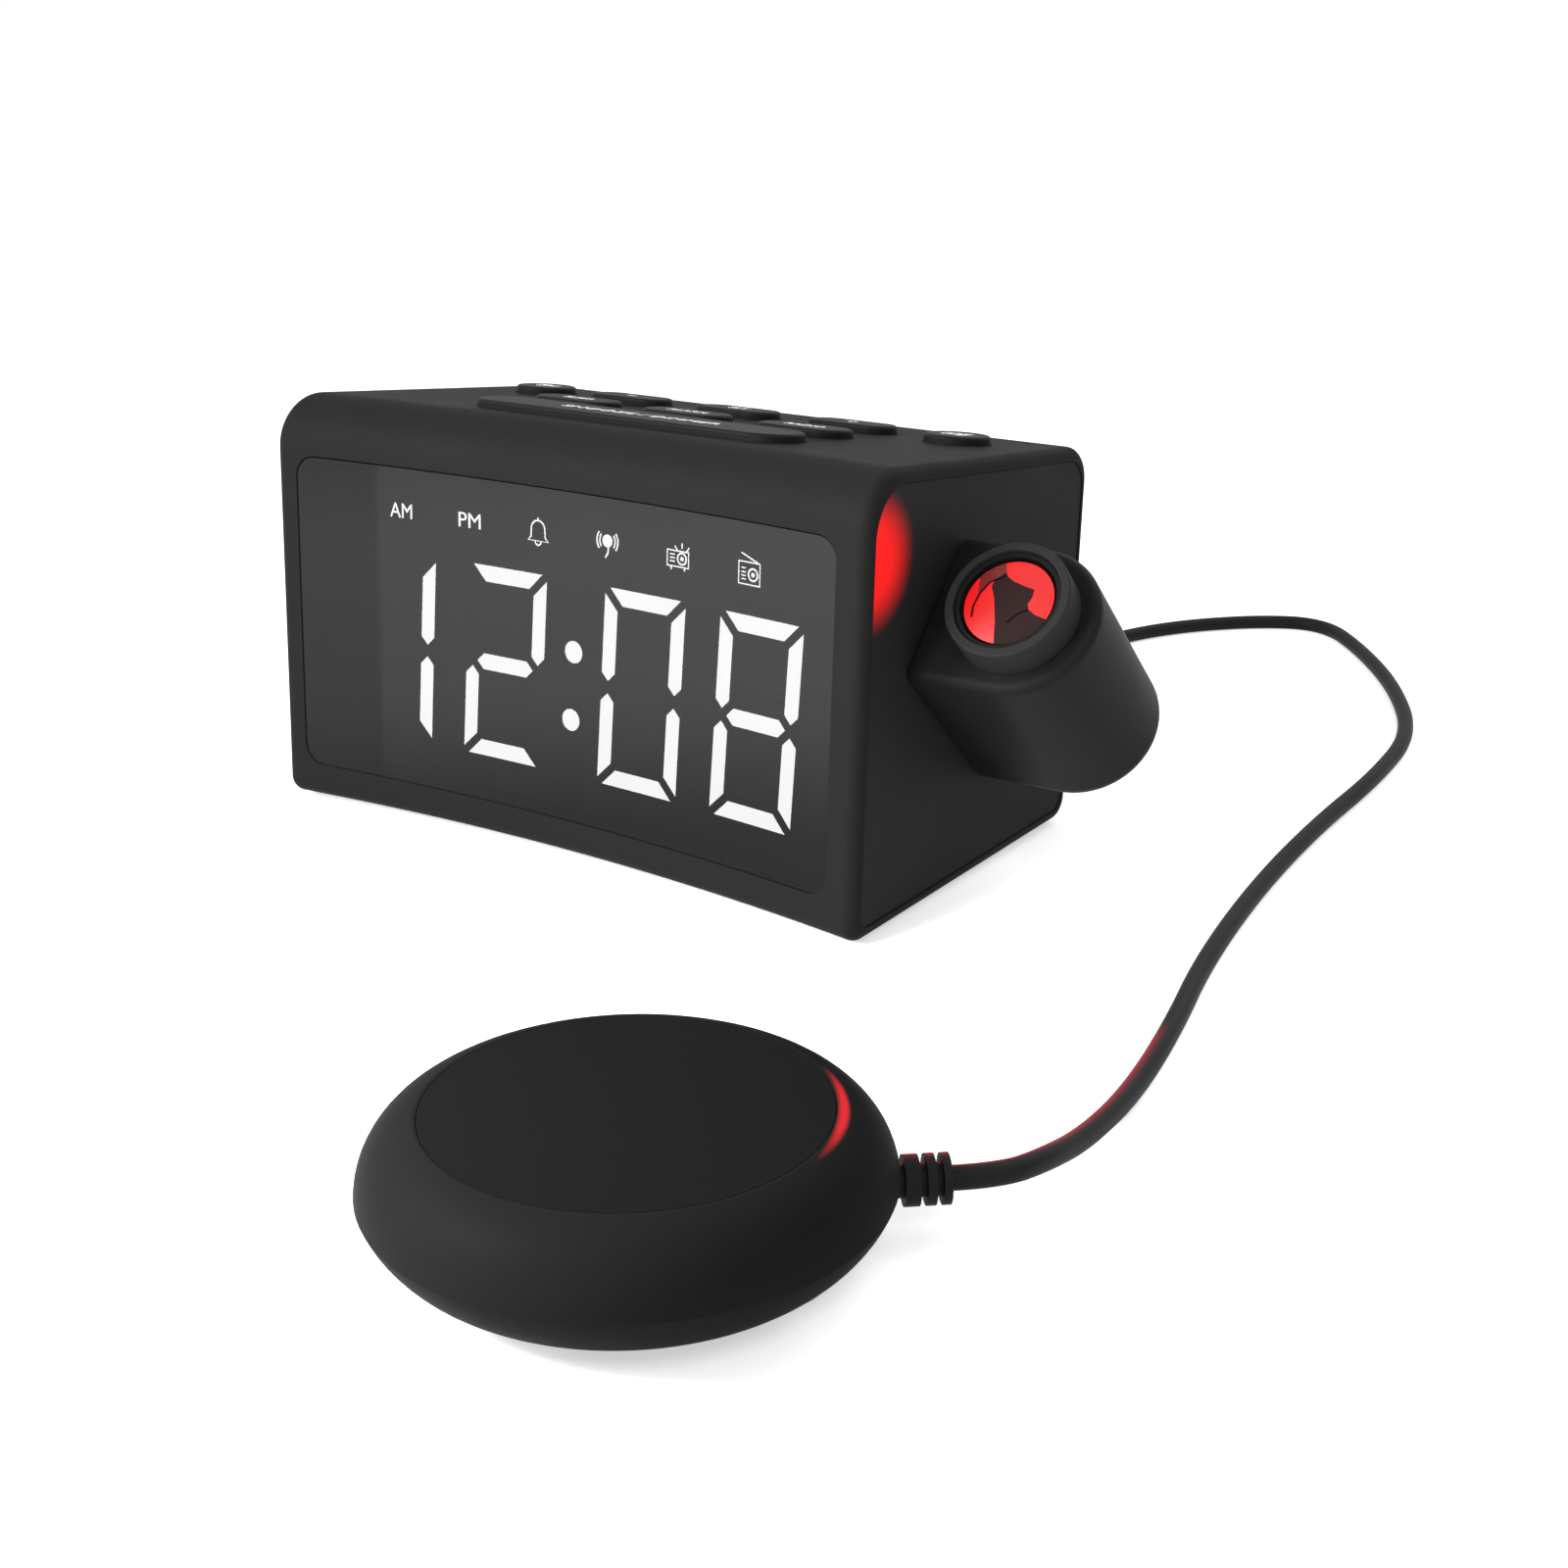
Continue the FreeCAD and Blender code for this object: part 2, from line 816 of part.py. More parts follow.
def segment_outlines():
    """Outlines of the seven segments of one digit, from its lower left corner."""
    half = segment_width / 2
    left = half
    right = digit_width - half
    levels = (half, digit_height / 2, digit_height - half)
    gap = segment_gap * math.sqrt(2) / 2
    outlines = {}
    for name, level, low_bevel, high_bevel in (
            ("bottom", levels[0], -half, half),
            ("middle", levels[1], 0, 0),
            ("top", levels[2], half, -half)):
        start = left + gap
        end = right - gap
        if name == "middle":
            points = [(start, level), (start + half, level - half), (end - half, level - half),
                      (end, level), (end - half, level + half), (start + half, level + half)]
        else:
            outer = level + low_bevel
            inner = level + high_bevel
            points = [(start - half, outer), (end + half, outer),
                      (end - half, inner), (start + half, inner)]
        outlines[name] = points
    for side, x in (("left", left), ("right", right)):
        out = -half if side == "left" else half
        for part, low, high in (("lower", levels[0], levels[1]), ("upper", levels[1], levels[2])):
            start = low + gap
            end = high - gap
            if part == "lower":
                points = [(x + out, start - half), (x - out, start + half),
                          (x - out, end - half), (x, end), (x + out, end - half)]
            else:
                points = [(x + out, end + half), (x - out, end - half),
                          (x - out, start + half), (x, start), (x + out, start + half)]
            outlines[part + "_" + side] = points
    return outlines


LIT = {
    0: ("lower_right", "upper_right"),
    1: ("top", "upper_right", "middle", "lower_left", "bottom"),
    2: ("top", "upper_right", "lower_right", "bottom", "lower_left", "upper_left"),
    3: ("top", "upper_right", "lower_right", "bottom", "lower_left", "upper_left", "middle"),
}
DIGIT_X = [first_digit_x, first_digit_x + digit_pitch,
           first_digit_x + 2 * digit_pitch + colon_extra,
           first_digit_x + 3 * digit_pitch + colon_extra]


def segment_prisms(lit):
    """Straight prisms of the lit or the dark segments, through the whole mask."""
    slant = math.tan(math.radians(digit_slant))
    prisms = []
    for place, digit_x in enumerate(DIGIT_X):
        for name, outline in segment_outlines().items():
            if (name in LIT[place]) != lit:
                continue
            points = [vector(digit_x + x + slant * z, -overrun, digit_bottom + z)
                      for x, z in outline]
            face = Part.Face(Part.makePolygon(points + points[:1]))
            prisms.append(face.extrude(Y_AXIS * (mask_back_y + overrun)))
    if lit:
        for share in (colon_low_share, colon_high_share):
            z = share * digit_height
            centre = vector(colon_x + slant * z, -overrun, digit_bottom + z)
            prisms.append(rod(centre, Y_AXIS, colon_radius, mask_back_y + overrun))
    return [placed(prism, front_frame) for prism in prisms]


mask_front_inset = window_recess + window_thickness + mask_gap


def segments(lit):
    """Light guides with curved fronts, let into the mask."""
    front = front_cylinder(mask_front_inset + segment_depth)
    keep = front.cut(front_cylinder(mask_front_inset))
    return group([prism.common(keep) for prism in segment_prisms(lit)])


def display_mask():
    """Black block behind the window, with a pocket for each segment."""
    body = window_prism(window_ledge + slide_gap, mask_back_y)
    body = body.cut(front_cylinder(mask_front_inset))
    pockets = front_cylinder(mask_front_inset + segment_depth)
    wells = segment_prisms(True) + segment_prisms(False)
    return body.cut([well.common(pockets) for well in wells])


def display_board():
    board = block(-display_board_half, display_board_half,
                  mask_back_y, mask_back_y + board_thickness,
                  display_board_bottom, display_board_top)
    for x, z in DISPLAY_POSTS:
        board = board.cut(rod(vector(x, 0, z), Y_AXIS, screw_radius + running_gap, case_depth))
    return placed(board, front_frame)


def screw(start, direction):
    """A pan head screw whose head sits on start and points along direction."""
    head = rod(start, direction, screw_head_radius, screw_head_height)
    shank = rod(start - direction * screw_length, direction, screw_radius, screw_length)
    return head.fuse(shank).removeSplitter()


def board_screws():
    screws = []
    for x, z in DISPLAY_POSTS:
        start = vector(x, mask_back_y + board_thickness, z)
        screws.append(placed(screw(start, Y_AXIS), front_frame))
    return group(screws)


def cover_screws():
    screws = []
    for x, z in COVER_SCREWS:
        start = vector(x, -counterbore_depth, z)
        screws.append(placed(screw(start, Y_AXIS), rear_frame))
    return group(screws)


def key_board():
    board = block(-key_board_half, key_board_half, key_board_front, key_board_rear,
                  key_board_top - board_thickness, key_board_top)
    return placed(board, top_frame)


def key_switches():
    switches = []
    for x, y, _, _, stems in KEYS.values():
        for stem_x in stems:
            half = switch_width / 2
            body = block(x + stem_x - half, x + stem_x + half, y - half, y + half,
                         key_board_top, switch_top)
            switches.append(placed(body, top_frame))
    return group(switches)


def rear_cover():
    cover = rear_plate(seat_gap, -wall, 0)
    holes = []
    for x, z in COVER_SCREWS:
        start = vector(x, -wall - overrun, z)
        holes.append(rod(start, Y_AXIS, screw_radius + running_gap, 2 * overrun + wall))
        holes.append(rod(vector(x, -counterbore_depth, z), Y_AXIS, counterbore_radius, overrun))
    middle = (grille_slots - 1) / 2
    for index in range(grille_slots):
        offset = (index - middle) * grille_pitch
        half = math.sqrt(cone_radius ** 2 - offset ** 2) - speaker_rim
        slot = rounded_plate(0, 0, 2 * half, grille_slot_height,
                             grille_slot_height / 2 - tiny, -wall - overrun, overrun)
        slot.rotate(FreeCAD.Vector(), X_AXIS, -90)
        holes.append(moved(slot, speaker_x, 0, speaker_z + offset))
    holes = [placed(hole, rear_frame) for hole in holes]
    for x in (dc_jack_x, shaker_jack_x):
        holes.append(rod(vector(x, case_depth - 2 * overrun, socket_z), Y_AXIS,
                         socket_collar_radius + collar_gap, 3 * overrun))
    return cover.cut(holes)


def speaker_frame():
    """Rim and basket of the speaker, open towards the grille."""
    profile = [
        (0, 0),
        (magnet_radius, 0),
        (cone_radius + speaker_rim / 2, cone_depth),
        (speaker_radius, cone_depth),
        (speaker_radius, cone_depth + speaker_rim),
        (cone_radius, cone_depth + speaker_rim),
        (magnet_radius, speaker_rim),
        (0, speaker_rim),
    ]
    return speaker_placed(turned(profile))


def speaker_magnet():
    return speaker_placed(rod(vector(0, 0, -magnet_depth), Z_AXIS, magnet_radius, magnet_depth))


def speaker_placed(shape):
    """Turns a part made along Z to face the rear, its rim on the rear cover."""
    rim_y = -wall - cone_depth - speaker_rim
    turn = FreeCAD.Placement(vector(speaker_x, rim_y, speaker_z), FreeCAD.Rotation(X_AXIS, -90))
    return placed(placed(shape, turn), rear_frame)


def main_board():
    return block(main_board_left, main_board_right, main_board_front, main_board_rear,
                 main_board_z, main_board_top)


def board_parts():
    """Chip, capacitors and transformer on the main board."""
    middle_y = (main_board_front + main_board_rear) / 2
    middle_x = (main_board_left + main_board_right) / 2
    half = chip_width / 2
    parts = [block(middle_x - half, middle_x + half, middle_y - half, middle_y + half,
                   main_board_top, main_board_top + chip_height)]
    for step in (1, 2, 3):
        foot = vector(main_board_left + step * chip_width, main_board_front + chip_width / 2,
                      main_board_top)
        parts.append(rod(foot, Z_AXIS, capacitor_radius, capacitor_height))
    corner_x = main_board_right - transformer_width - main_board_post_inset
    parts.append(block(corner_x, corner_x + transformer_width,
                       middle_y - half, middle_y - half + transformer_width,
                       main_board_top, main_board_top + transformer_height))
    return group(parts)


socket_face_y = case_depth + lean_tangent * (socket_z + plug_radius - foot_height)


def socket(x):
    """Body of a round socket with its collar through the rear cover."""
    half = socket_width / 2
    back = socket_face_y - socket_collar_depth - socket_depth
    body = block(x - half, x + half, back, back + socket_depth,
                 main_board_top, main_board_top + socket_height)
    collar = rod(vector(x, back + socket_depth - tiny, socket_z), Y_AXIS,
                 socket_collar_radius, socket_collar_depth + tiny)
    return body.fuse(collar)


def dc_jack():
    start = vector(dc_jack_x, socket_face_y - dc_bore_depth, socket_z)
    body = socket(dc_jack_x).cut(rod(start, Y_AXIS, dc_bore_radius, dc_bore_depth + overrun))
    pin_length = dc_bore_depth - dc_pin_inset
    return body.fuse(rod(start, Y_AXIS, dc_pin_radius, pin_length)).removeSplitter()


def shaker_jack():
    start = vector(shaker_jack_x, socket_face_y - plug_tip_length - stop_gap, socket_z)
    bore = rod(start, Y_AXIS, plug_tip_radius + running_gap, plug_tip_length + overrun)
    return socket(shaker_jack_x).cut(bore).removeSplitter()


def cell_cap():
    """Round cap with a coin slot, which turns in its recess."""
    start = vector(cell_x, cell_y, foot_height)
    cap = rod(start, Z_AXIS, cap_radius, cap_thickness - stop_gap)
    half = cap_slot_length / 2
    slot = block(cell_x - half, cell_x + half, cell_y - cap_slot_width / 2,
                 cell_y + cap_slot_width / 2, foot_height - overrun, foot_height + cap_slot_depth)
    return cap.cut(slot)


cell_low = foot_height + cap_thickness + stop_gap
cell_high = cell_low + cell_thickness


def backup_cell():
    return rod(vector(cell_x, cell_y, cell_low), Z_AXIS, cell_radius, cell_thickness)


def cell_contact():
    """Bowed spring strip between the cell and the roof of its bay."""
    roof = underside_inner + bay_height - bay_wall
    half = contact_width / 2
    points = [
        vector(cell_x - contact_width, cell_y - half, roof - contact_thickness),
        vector(cell_x, cell_y - half, cell_high),
        vector(cell_x + contact_width, cell_y - half, roof - contact_thickness),
        vector(cell_x + contact_width, cell_y - half, roof),
        vector(cell_x, cell_y - half, cell_high + contact_thickness),
        vector(cell_x - contact_width, cell_y - half, roof),
    ]
    return Part.Face(Part.makePolygon(points + points[:1])).extrude(Y_AXIS * contact_width)


def arm_section(inset, x_start, low, high):
    """Prism of the arm's section: flat towards the case and round outside."""
    half = arm_half_width - inset
    points = [vector(x_start, -half, low), vector(arm_round_x, -half, low),
              vector(arm_round_x + half, 0, low),
              vector(arm_round_x, half, low), vector(x_start, half, low)]
    edges = [
        Part.makeLine(points[0], points[1]),
        Part.Arc(points[1], points[2], points[3]).toShape(),
        Part.makeLine(points[3], points[4]),
        Part.makeLine(points[4], points[0]),
    ]
    return Part.Face(Part.Wire(edges)).extrude(Z_AXIS * (high - low))


def end_rim(body, level, x_start):
    """Edges of an arm section at one end, without the one against the case."""
    chosen = []
    for edge in body.Edges:
        box = edge.BoundBox
        flat = abs(box.ZMin - level) < tiny and abs(box.ZMax - level) < tiny
        if flat and box.XMax > x_start + tiny:
            chosen.append(edge)
    return chosen


def arm_form(inset, x_start):
    """The arm's outer or inner form, with its ends rounded."""
    low = -arm_to_base + inset
    high = arm_to_face - inset
    body = arm_section(inset, x_start, low, high)
    body = body.makeFillet(arm_base_radius - inset, end_rim(body, low, x_start))
    if inset < arm_face_radius / 2:
        body = body.makeFillet(arm_face_radius, end_rim(body, high, x_start))
    return body


ARM_POSTS = [(side * arm_post_e, n) for side in (-1, 1) for n in (arm_post_low, arm_post_high)]
arm_plate_back = arm_gap + arm_plate_thickness


def arm_housing():
    """Hollow arm, open towards the case, with the lens guide on its face."""
    body = arm_form(0, arm_gap)
    cavity = arm_form(arm_wall, arm_gap - overrun)
    body = body.cut(cavity)
    posts = []
    for e, n in ARM_POSTS:
        post = rod(vector(arm_plate_back, e, n), X_AXIS, arm_post_radius, arm_to_face)
        posts.append(post.common(arm_form(arm_wall / 2, arm_gap)))
    guide = rod(vector(arm_round_x, 0, arm_to_face - arm_wall / 2), Z_AXIS,
                guide_radius, guide_height + arm_wall / 2)
    body = body.fuse(posts + [guide])
    bore = rod(vector(arm_round_x, 0, arm_to_face - arm_wall - tiny), Z_AXIS,
               guide_bore_radius, guide_height + arm_wall + overrun)
    cuts = [bore]
    hole_end = arm_gap + screw_head_height + screw_length + stop_gap
    for e, n in ARM_POSTS:
        cuts.append(rod(vector(0, e, n), X_AXIS, screw_radius + running_gap, hole_end))
    return placed(body.cut(cuts).removeSplitter(), arm_frame)


def arm_plate():
    """Plate that closes the arm's inner side."""
    inset = arm_wall + seat_gap
    half = arm_half_width - inset
    plate = block(arm_gap, arm_plate_back, -half, half, -arm_to_base + inset, arm_to_face - inset)
    low_edges = [edge for edge in plate.Edges
                 if edge.BoundBox.ZMax < -arm_to_base + inset + tiny
                 and edge.BoundBox.YLength < tiny]
    plate = plate.makeFillet(arm_base_radius - inset, low_edges)
    cuts = [rod(FreeCAD.Vector(), X_AXIS, shaft_radius + running_gap, arm_plate_back + overrun)]
    for e, n in ARM_POSTS:
        cuts.append(rod(vector(0, e, n), X_AXIS, screw_radius + running_gap, overrun))
        cuts.append(rod(vector(0, e, n), X_AXIS, screw_head_radius + running_gap,
                        arm_gap + screw_head_height))
    return placed(plate.cut(cuts), arm_frame)


def arm_screws():
    screws = []
    for e, n in ARM_POSTS:
        screws.append(screw(vector(arm_gap + screw_head_height, e, n), -X_AXIS))
    return placed(group(screws), arm_frame)


bush_inner_x = -side_wall - pivot_boss_depth
bush_outer_x = -panel_recess
washer_x = bush_inner_x - bush_flange_thickness - stop_gap - washer_thickness
clip_x = washer_x - stop_gap - clip_thickness


def pivot_bush():
    """Flanged bush in the case that the arm's shaft turns in."""
    sleeve = tube(vector(bush_inner_x, 0, 0), X_AXIS, bush_radius - running_gap,
                  shaft_radius + running_gap, bush_outer_x - bush_inner_x)
    flange = tube(vector(bush_inner_x - bush_flange_thickness, 0, 0), X_AXIS,
                  bush_flange_radius, shaft_radius + running_gap, bush_flange_thickness)
    return placed(sleeve.fuse(flange).removeSplitter(), pivot_frame)


def friction_washer():
    ring = tube(vector(washer_x, 0, 0), X_AXIS, washer_radius, shaft_radius + running_gap,
                washer_thickness)
    return placed(ring, pivot_frame)


def arm_shaft():
    """Hollow shaft with a flange inside the arm."""
    end_x = clip_x - shaft_end_length
    shaft = rod(vector(end_x, 0, 0), X_AXIS, shaft_radius, arm_plate_back - end_x)
    flange = rod(vector(arm_plate_back, 0, 0), X_AXIS, shaft_flange_radius,
                 shaft_flange_thickness)
    bore = rod(vector(end_x, 0, 0), X_AXIS, shaft_bore_radius,
               arm_plate_back + shaft_flange_thickness - end_x)
    return placed(shaft.fuse(flange).cut(bore).removeSplitter(), pivot_frame)


def shaft_clip():
    """Clip that holds the shaft against the friction washer."""
    ring = tube(vector(clip_x, 0, 0), X_AXIS, clip_radius, shaft_radius + running_gap,
                clip_thickness)
    return placed(ring, pivot_frame)


def face_point(height):
    """Point on the lens axis, at a height over the arm's face."""
    return vector(arm_round_x, 0, arm_to_face + height)


def focus_ring():
    outer = rod(face_point(ring_start), Z_AXIS, ring_radius, ring_height - ring_start)
    rim = [edge for edge in outer.Edges if edge.BoundBox.ZMin > arm_to_face + ring_height - tiny]
    outer = outer.makeFillet(ring_edge_radius, rim)
    lip = ring_height - ring_lip_height
    bore = rod(face_point(0), Z_AXIS, guide_radius + running_gap, lip)
    hole = rod(face_point(0), Z_AXIS, ring_lip_radius, ring_height + overrun)
    return placed(outer.cut([bore, hole]), arm_frame)


def lens_tube():
    """Tube that carries the lens and slides in the guide."""
    outer = rod(face_point(lens_tube_bottom), Z_AXIS, guide_bore_radius - running_gap,
                lens_tube_top - lens_tube_bottom)
    bore = rod(face_point(lens_tube_bottom), Z_AXIS, cell_tube_bore, lens_tube_top + arm_to_face)
    seat = rod(face_point(lens_seat), Z_AXIS, lens_radius + running_gap, arm_to_face)
    return placed(outer.cut([bore, seat]), arm_frame)


def lens_solid(radius, edge, crown, both_sides):
    """Round lens: a disc with a crowned upper side, and lower side if asked."""
    drum_radius = (radius ** 2 + crown ** 2) / (2 * crown)
    ball = Part.makeSphere(drum_radius, vector(0, 0, edge + crown - drum_radius))
    if not both_sides:
        return rod(FreeCAD.Vector(), Z_AXIS, radius, edge + crown).common(ball)
    other = Part.makeSphere(drum_radius, vector(0, 0, drum_radius - crown))
    disc = rod(vector(0, 0, -crown), Z_AXIS, radius, edge + 2 * crown)
    return disc.common(ball).common(other)


def projector_lens():
    lens = lens_solid(lens_radius, lens_edge_thickness, lens_crown, False)
    lens.translate(face_point(lens_seat))
    return placed(lens, arm_frame)


def slide_tube():
    """Dark tube over the lamp that holds the condenser and the image slide."""
    length = slide_tube_top - lamp_board_top
    outer = rod(face_point(lamp_board_top), Z_AXIS, slide_tube_radius, length)
    bore = rod(face_point(lamp_board_top), Z_AXIS, slide_tube_bore, length)
    return placed(outer.cut(bore), arm_frame)


def condenser_lens():
    radius = slide_tube_bore - running_gap
    lens = lens_solid(radius, condenser_thickness - condenser_crown, condenser_crown, False)
    lens.translate(face_point(condenser_depth))
    return placed(lens, arm_frame)


def image_slide():
    disc = rod(face_point(slide_depth), Z_AXIS, slide_tube_bore - running_gap, slide_thickness)
    return placed(disc, arm_frame)


def lamp_board():
    """Board across the arm, on the two upper screw posts."""
    top = arm_to_face + lamp_board_top
    section = arm_section(arm_wall + lamp_board_inset, arm_plate_back + shaft_flange_thickness
                          + lamp_board_inset, top - board_thickness, top)
    return placed(section, arm_frame)


def projector_lamp():
    """Red lamp on the lamp board, inside the slide tube."""
    base = face_point(lamp_board_top)
    body = rod(base, Z_AXIS, lamp_radius, lamp_height)
    dome = Part.makeSphere(lamp_radius, base + Z_AXIS * lamp_height)
    return placed(body.fuse(dome).removeSplitter(), arm_frame)


shaker_frame = FreeCAD.Placement(vector(shaker_x, shaker_y, 0),
                                 FreeCAD.Rotation(Z_AXIS, relief_angle))


def bulged(start, end, bulge):
    """Arc between two profile points, bulged out to its right by bulge."""
    middle = (start + end) * 0.5
    run = end - start
    outward = vector(run.z, 0, -run.x).normalize()
    return Part.Arc(start, middle + outward * bulge, end).toShape()


def shaker_form(inset):
    """Turned form of the shaker without its disc, inset all round."""
    crease = vector(shaker_crease_radius, 0, shaker_crease_height - inset)
    if inset > 0:
        crease = vector(shaker_crease_radius - inset / 2, 0, shaker_crease_height - inset)
    equator = vector(shaker_radius - inset, 0, shaker_equator)
    base = vector(shaker_base_radius - inset / 2, 0, shaker_base_height + inset)
    axis_low = vector(0, 0, base.z)
    axis_high = vector(0, 0, crease.z)
    edges = [
        Part.makeLine(axis_low, base),
        bulged(base, equator, shaker_belly_bulge),
        bulged(equator, crease, shaker_bevel_bulge),
        Part.makeLine(crease, axis_high),
        Part.makeLine(axis_high, axis_low),
    ]
    solid = Part.Face(Part.Wire(edges)).revolve(FreeCAD.Vector(), Z_AXIS, 360)
    return solid


def shaker_layer(low, high):
    reach = 2 * shaker_radius
    return block(-reach, reach, -reach, reach, low, high)


SHAKER_SCREWS = [(shaker_screw_circle / math.sqrt(2) * sx, shaker_screw_circle / math.sqrt(2) * sy)
                 for sx, sy in ((1, 1), (-1, 1), (-1, -1), (1, -1))][:shaker_screw_count]


def relief_hole():
    start = vector(shaker_radius - 2 * overrun, 0, relief_height)
    return rod(start, X_AXIS, relief_core_radius + seat_gap, 3 * overrun)


def shaker_cover():
    """Upper shell with the seat for the disc and the screw posts."""
    shell = shaker_form(0).cut(shaker_form(shaker_wall))
    posts = []
    inner = shaker_form(shaker_wall / 2)
    for x, y in SHAKER_SCREWS:
        post = rod(vector(x, y, shaker_parting), Z_AXIS, shaker_post_radius, shaker_crease_height)
        posts.append(post.common(inner))
    shell = shell.fuse(posts)
    shell = shell.common(shaker_layer(shaker_parting, 2 * shaker_radius))
    seat_low = shaker_crease_height - disc_thickness
    cuts = [rod(vector(0, 0, seat_low), Z_AXIS, disc_radius + seat_gap, overrun), relief_hole()]
    cuts.append(rod(vector(0, 0, seat_low - overrun), Z_AXIS,
                    disc_radius - disc_seat_width, 2 * overrun))
    for x, y in SHAKER_SCREWS:
        cuts.append(rod(vector(x, y, 0), Z_AXIS, screw_radius + running_gap,
                        shaker_parting + screw_length / 2 + stop_gap))
    return placed(shell.cut(cuts).removeSplitter(), shaker_frame)


def shaker_disc():
    """Slightly crowned disc on top of the shaker."""
    crown = shaker_crown_height - shaker_crease_height
    disc = lens_solid(disc_radius, disc_thickness, crown, False)
    disc.translate(vector(0, 0, shaker_crease_height - disc_thickness))
    return placed(disc, shaker_frame)


screw_seat = shaker_parting - screw_length / 2


def shaker_base():
    """Lower shell with the motor cradle, the screw towers and the pad's recess."""
    shell = shaker_form(0).cut(shaker_form(shaker_wall))
    floor = shaker_base_height + shaker_wall
    additions = []
    inner = shaker_form(shaker_wall / 2)
    for x, y in SHAKER_SCREWS:
        post = rod(vector(x, y, shaker_base_height), Z_AXIS, shaker_post_radius,
                   shaker_parting - shaker_base_height)
        additions.append(post.common(inner))
    cradle = block(cradle_start, cradle_start + cradle_length, -cradle_width / 2,
                   cradle_width / 2, floor - tiny, motor_height - cradle_gap)
    additions.append(cradle)
    shell = shell.common(shaker_layer(-overrun, shaker_parting)).fuse(additions)
    motor_space = rod(vector(-shaker_radius, 0, motor_height), X_AXIS,
                      motor_radius + cradle_gap, 2 * shaker_radius)
    cuts = [motor_space.common(shaker_layer(floor, shaker_radius)), relief_hole(),
            rod(vector(0, 0, 0), Z_AXIS, pad_radius, shaker_base_height + pad_recess)]
    for x, y in SHAKER_SCREWS:
        cuts.append(rod(vector(x, y, 0), Z_AXIS, screw_radius + running_gap, shaker_radius))
        cuts.append(rod(vector(x, y, 0), Z_AXIS, screw_head_radius + seat_gap, screw_seat))
    return placed(shell.cut(cuts).removeSplitter(), shaker_frame)


def shaker_screws():
    screws = [screw(vector(x, y, screw_seat), -Z_AXIS) for x, y in SHAKER_SCREWS]
    return placed(group(screws), shaker_frame)


def shaker_pad():
    """Rubber pad that the shaker stands on."""
    pad = rod(FreeCAD.Vector(), Z_AXIS, pad_radius - seat_gap, shaker_base_height + pad_recess)
    return placed(pad, shaker_frame)


def motor_strap():
    """Strap over the motor, screwed down on the cradle."""
    outer_radius = motor_radius + cradle_gap + strap_thickness
    start = vector(cradle_start, 0, motor_height)
    band = tube(start, X_AXIS, outer_radius, motor_radius + cradle_gap, cradle_length)
    ears = block(cradle_start, cradle_start + cradle_length, -cradle_width / 2,
                 cradle_width / 2, motor_height, motor_height + strap_thickness)
    ears = ears.cut(rod(start, X_AXIS, motor_radius + cradle_gap, cradle_length))
    upper = block(-shaker_radius, shaker_radius, -shaker_radius, shaker_radius,
                  motor_height, 2 * shaker_radius)
    return placed(band.common(upper).fuse(ears).removeSplitter(), shaker_frame)


def motor():
    can = rod(vector(motor_start, 0, motor_height), X_AXIS, motor_radius, motor_length)
    rim = [edge for edge in can.Edges if edge.BoundBox.XLength < tiny]
    can = can.makeFillet(motor_shaft_radius, rim)
    face = motor_start + motor_length
    bore = rod(vector(face - motor_shaft_in, 0, motor_height), X_AXIS,
               motor_shaft_radius + running_gap, motor_shaft_in + overrun)
    return placed(can.cut(bore), shaker_frame)


def motor_shaft():
    face = motor_start + motor_length
    start = vector(face - motor_shaft_in + stop_gap, 0, motor_height)
    shaft = rod(start, X_AXIS, motor_shaft_radius, motor_shaft_in + motor_shaft_out - stop_gap)
    return placed(shaft, shaker_frame)


def eccentric_weight():
    """Half-round weight on the motor's shaft, hanging down."""
    start = vector(motor_start + motor_length + weight_gap, 0, motor_height)
    sector = rod(start, X_AXIS, weight_radius, weight_thickness)
    upper = block(-shaker_radius, shaker_radius, -shaker_radius, shaker_radius,
                  motor_height, 2 * shaker_radius)
    weight = sector.cut(upper).fuse(rod(start, X_AXIS, weight_hub_radius, weight_thickness))
    weight = weight.cut(rod(start, X_AXIS, motor_shaft_radius, weight_thickness))
    return placed(weight.removeSplitter(), shaker_frame)


def relief_surface():
    """Radius of the shaker's side at the height where the cord leaves it."""
    ring = shaker_form(0).common(shaker_layer(relief_height - tiny, relief_height))
    return ring.optimalBoundingBox().XMax


relief_start = relief_surface()
relief_length = (relief_neck_length + sum(relief_rib_lengths)
                 + relief_slot_length * (len(relief_rib_lengths) - 1))


def cord_relief():
    """Ribbed strain relief: a core through the side of the shaker and three ribs."""
    inner_face = relief_start - shaker_wall - relief_flange_depth
    start = vector(inner_face - relief_flange_thickness, 0, relief_height)
    core = rod(start, X_AXIS, relief_core_radius, relief_start + relief_length - start.x)
    flange = rod(start, X_AXIS, relief_flange_radius, relief_flange_thickness)
    flange = flange.cut(shaker_form(0).cut(shaker_form(shaker_wall + seat_gap)))
    parts = [flange]
    x = relief_start + relief_neck_length
    for length in relief_rib_lengths:
        parts.append(rod(vector(x, 0, relief_height), X_AXIS, relief_rib_radius, length))
        x += length + relief_slot_length
    return placed(core.fuse(parts).removeSplitter(), shaker_frame)


def cord_path():
    """Corner points of the cord from the strain relief to the plug."""
    exit_x = relief_start + relief_length
    plug_point = vector(shaker_jack_x, socket_face_y + plug_length + plug_taper_length, socket_z)
    points = [shaker_frame.multVec(vector(exit_x, 0, relief_height)),
              shaker_frame.multVec(vector(exit_x + cord_relief_lead, 0, relief_height))]
    points += [vector(*place) for place in cord_route]
    return points + [plug_point + Y_AXIS * cord_plug_lead, plug_point]


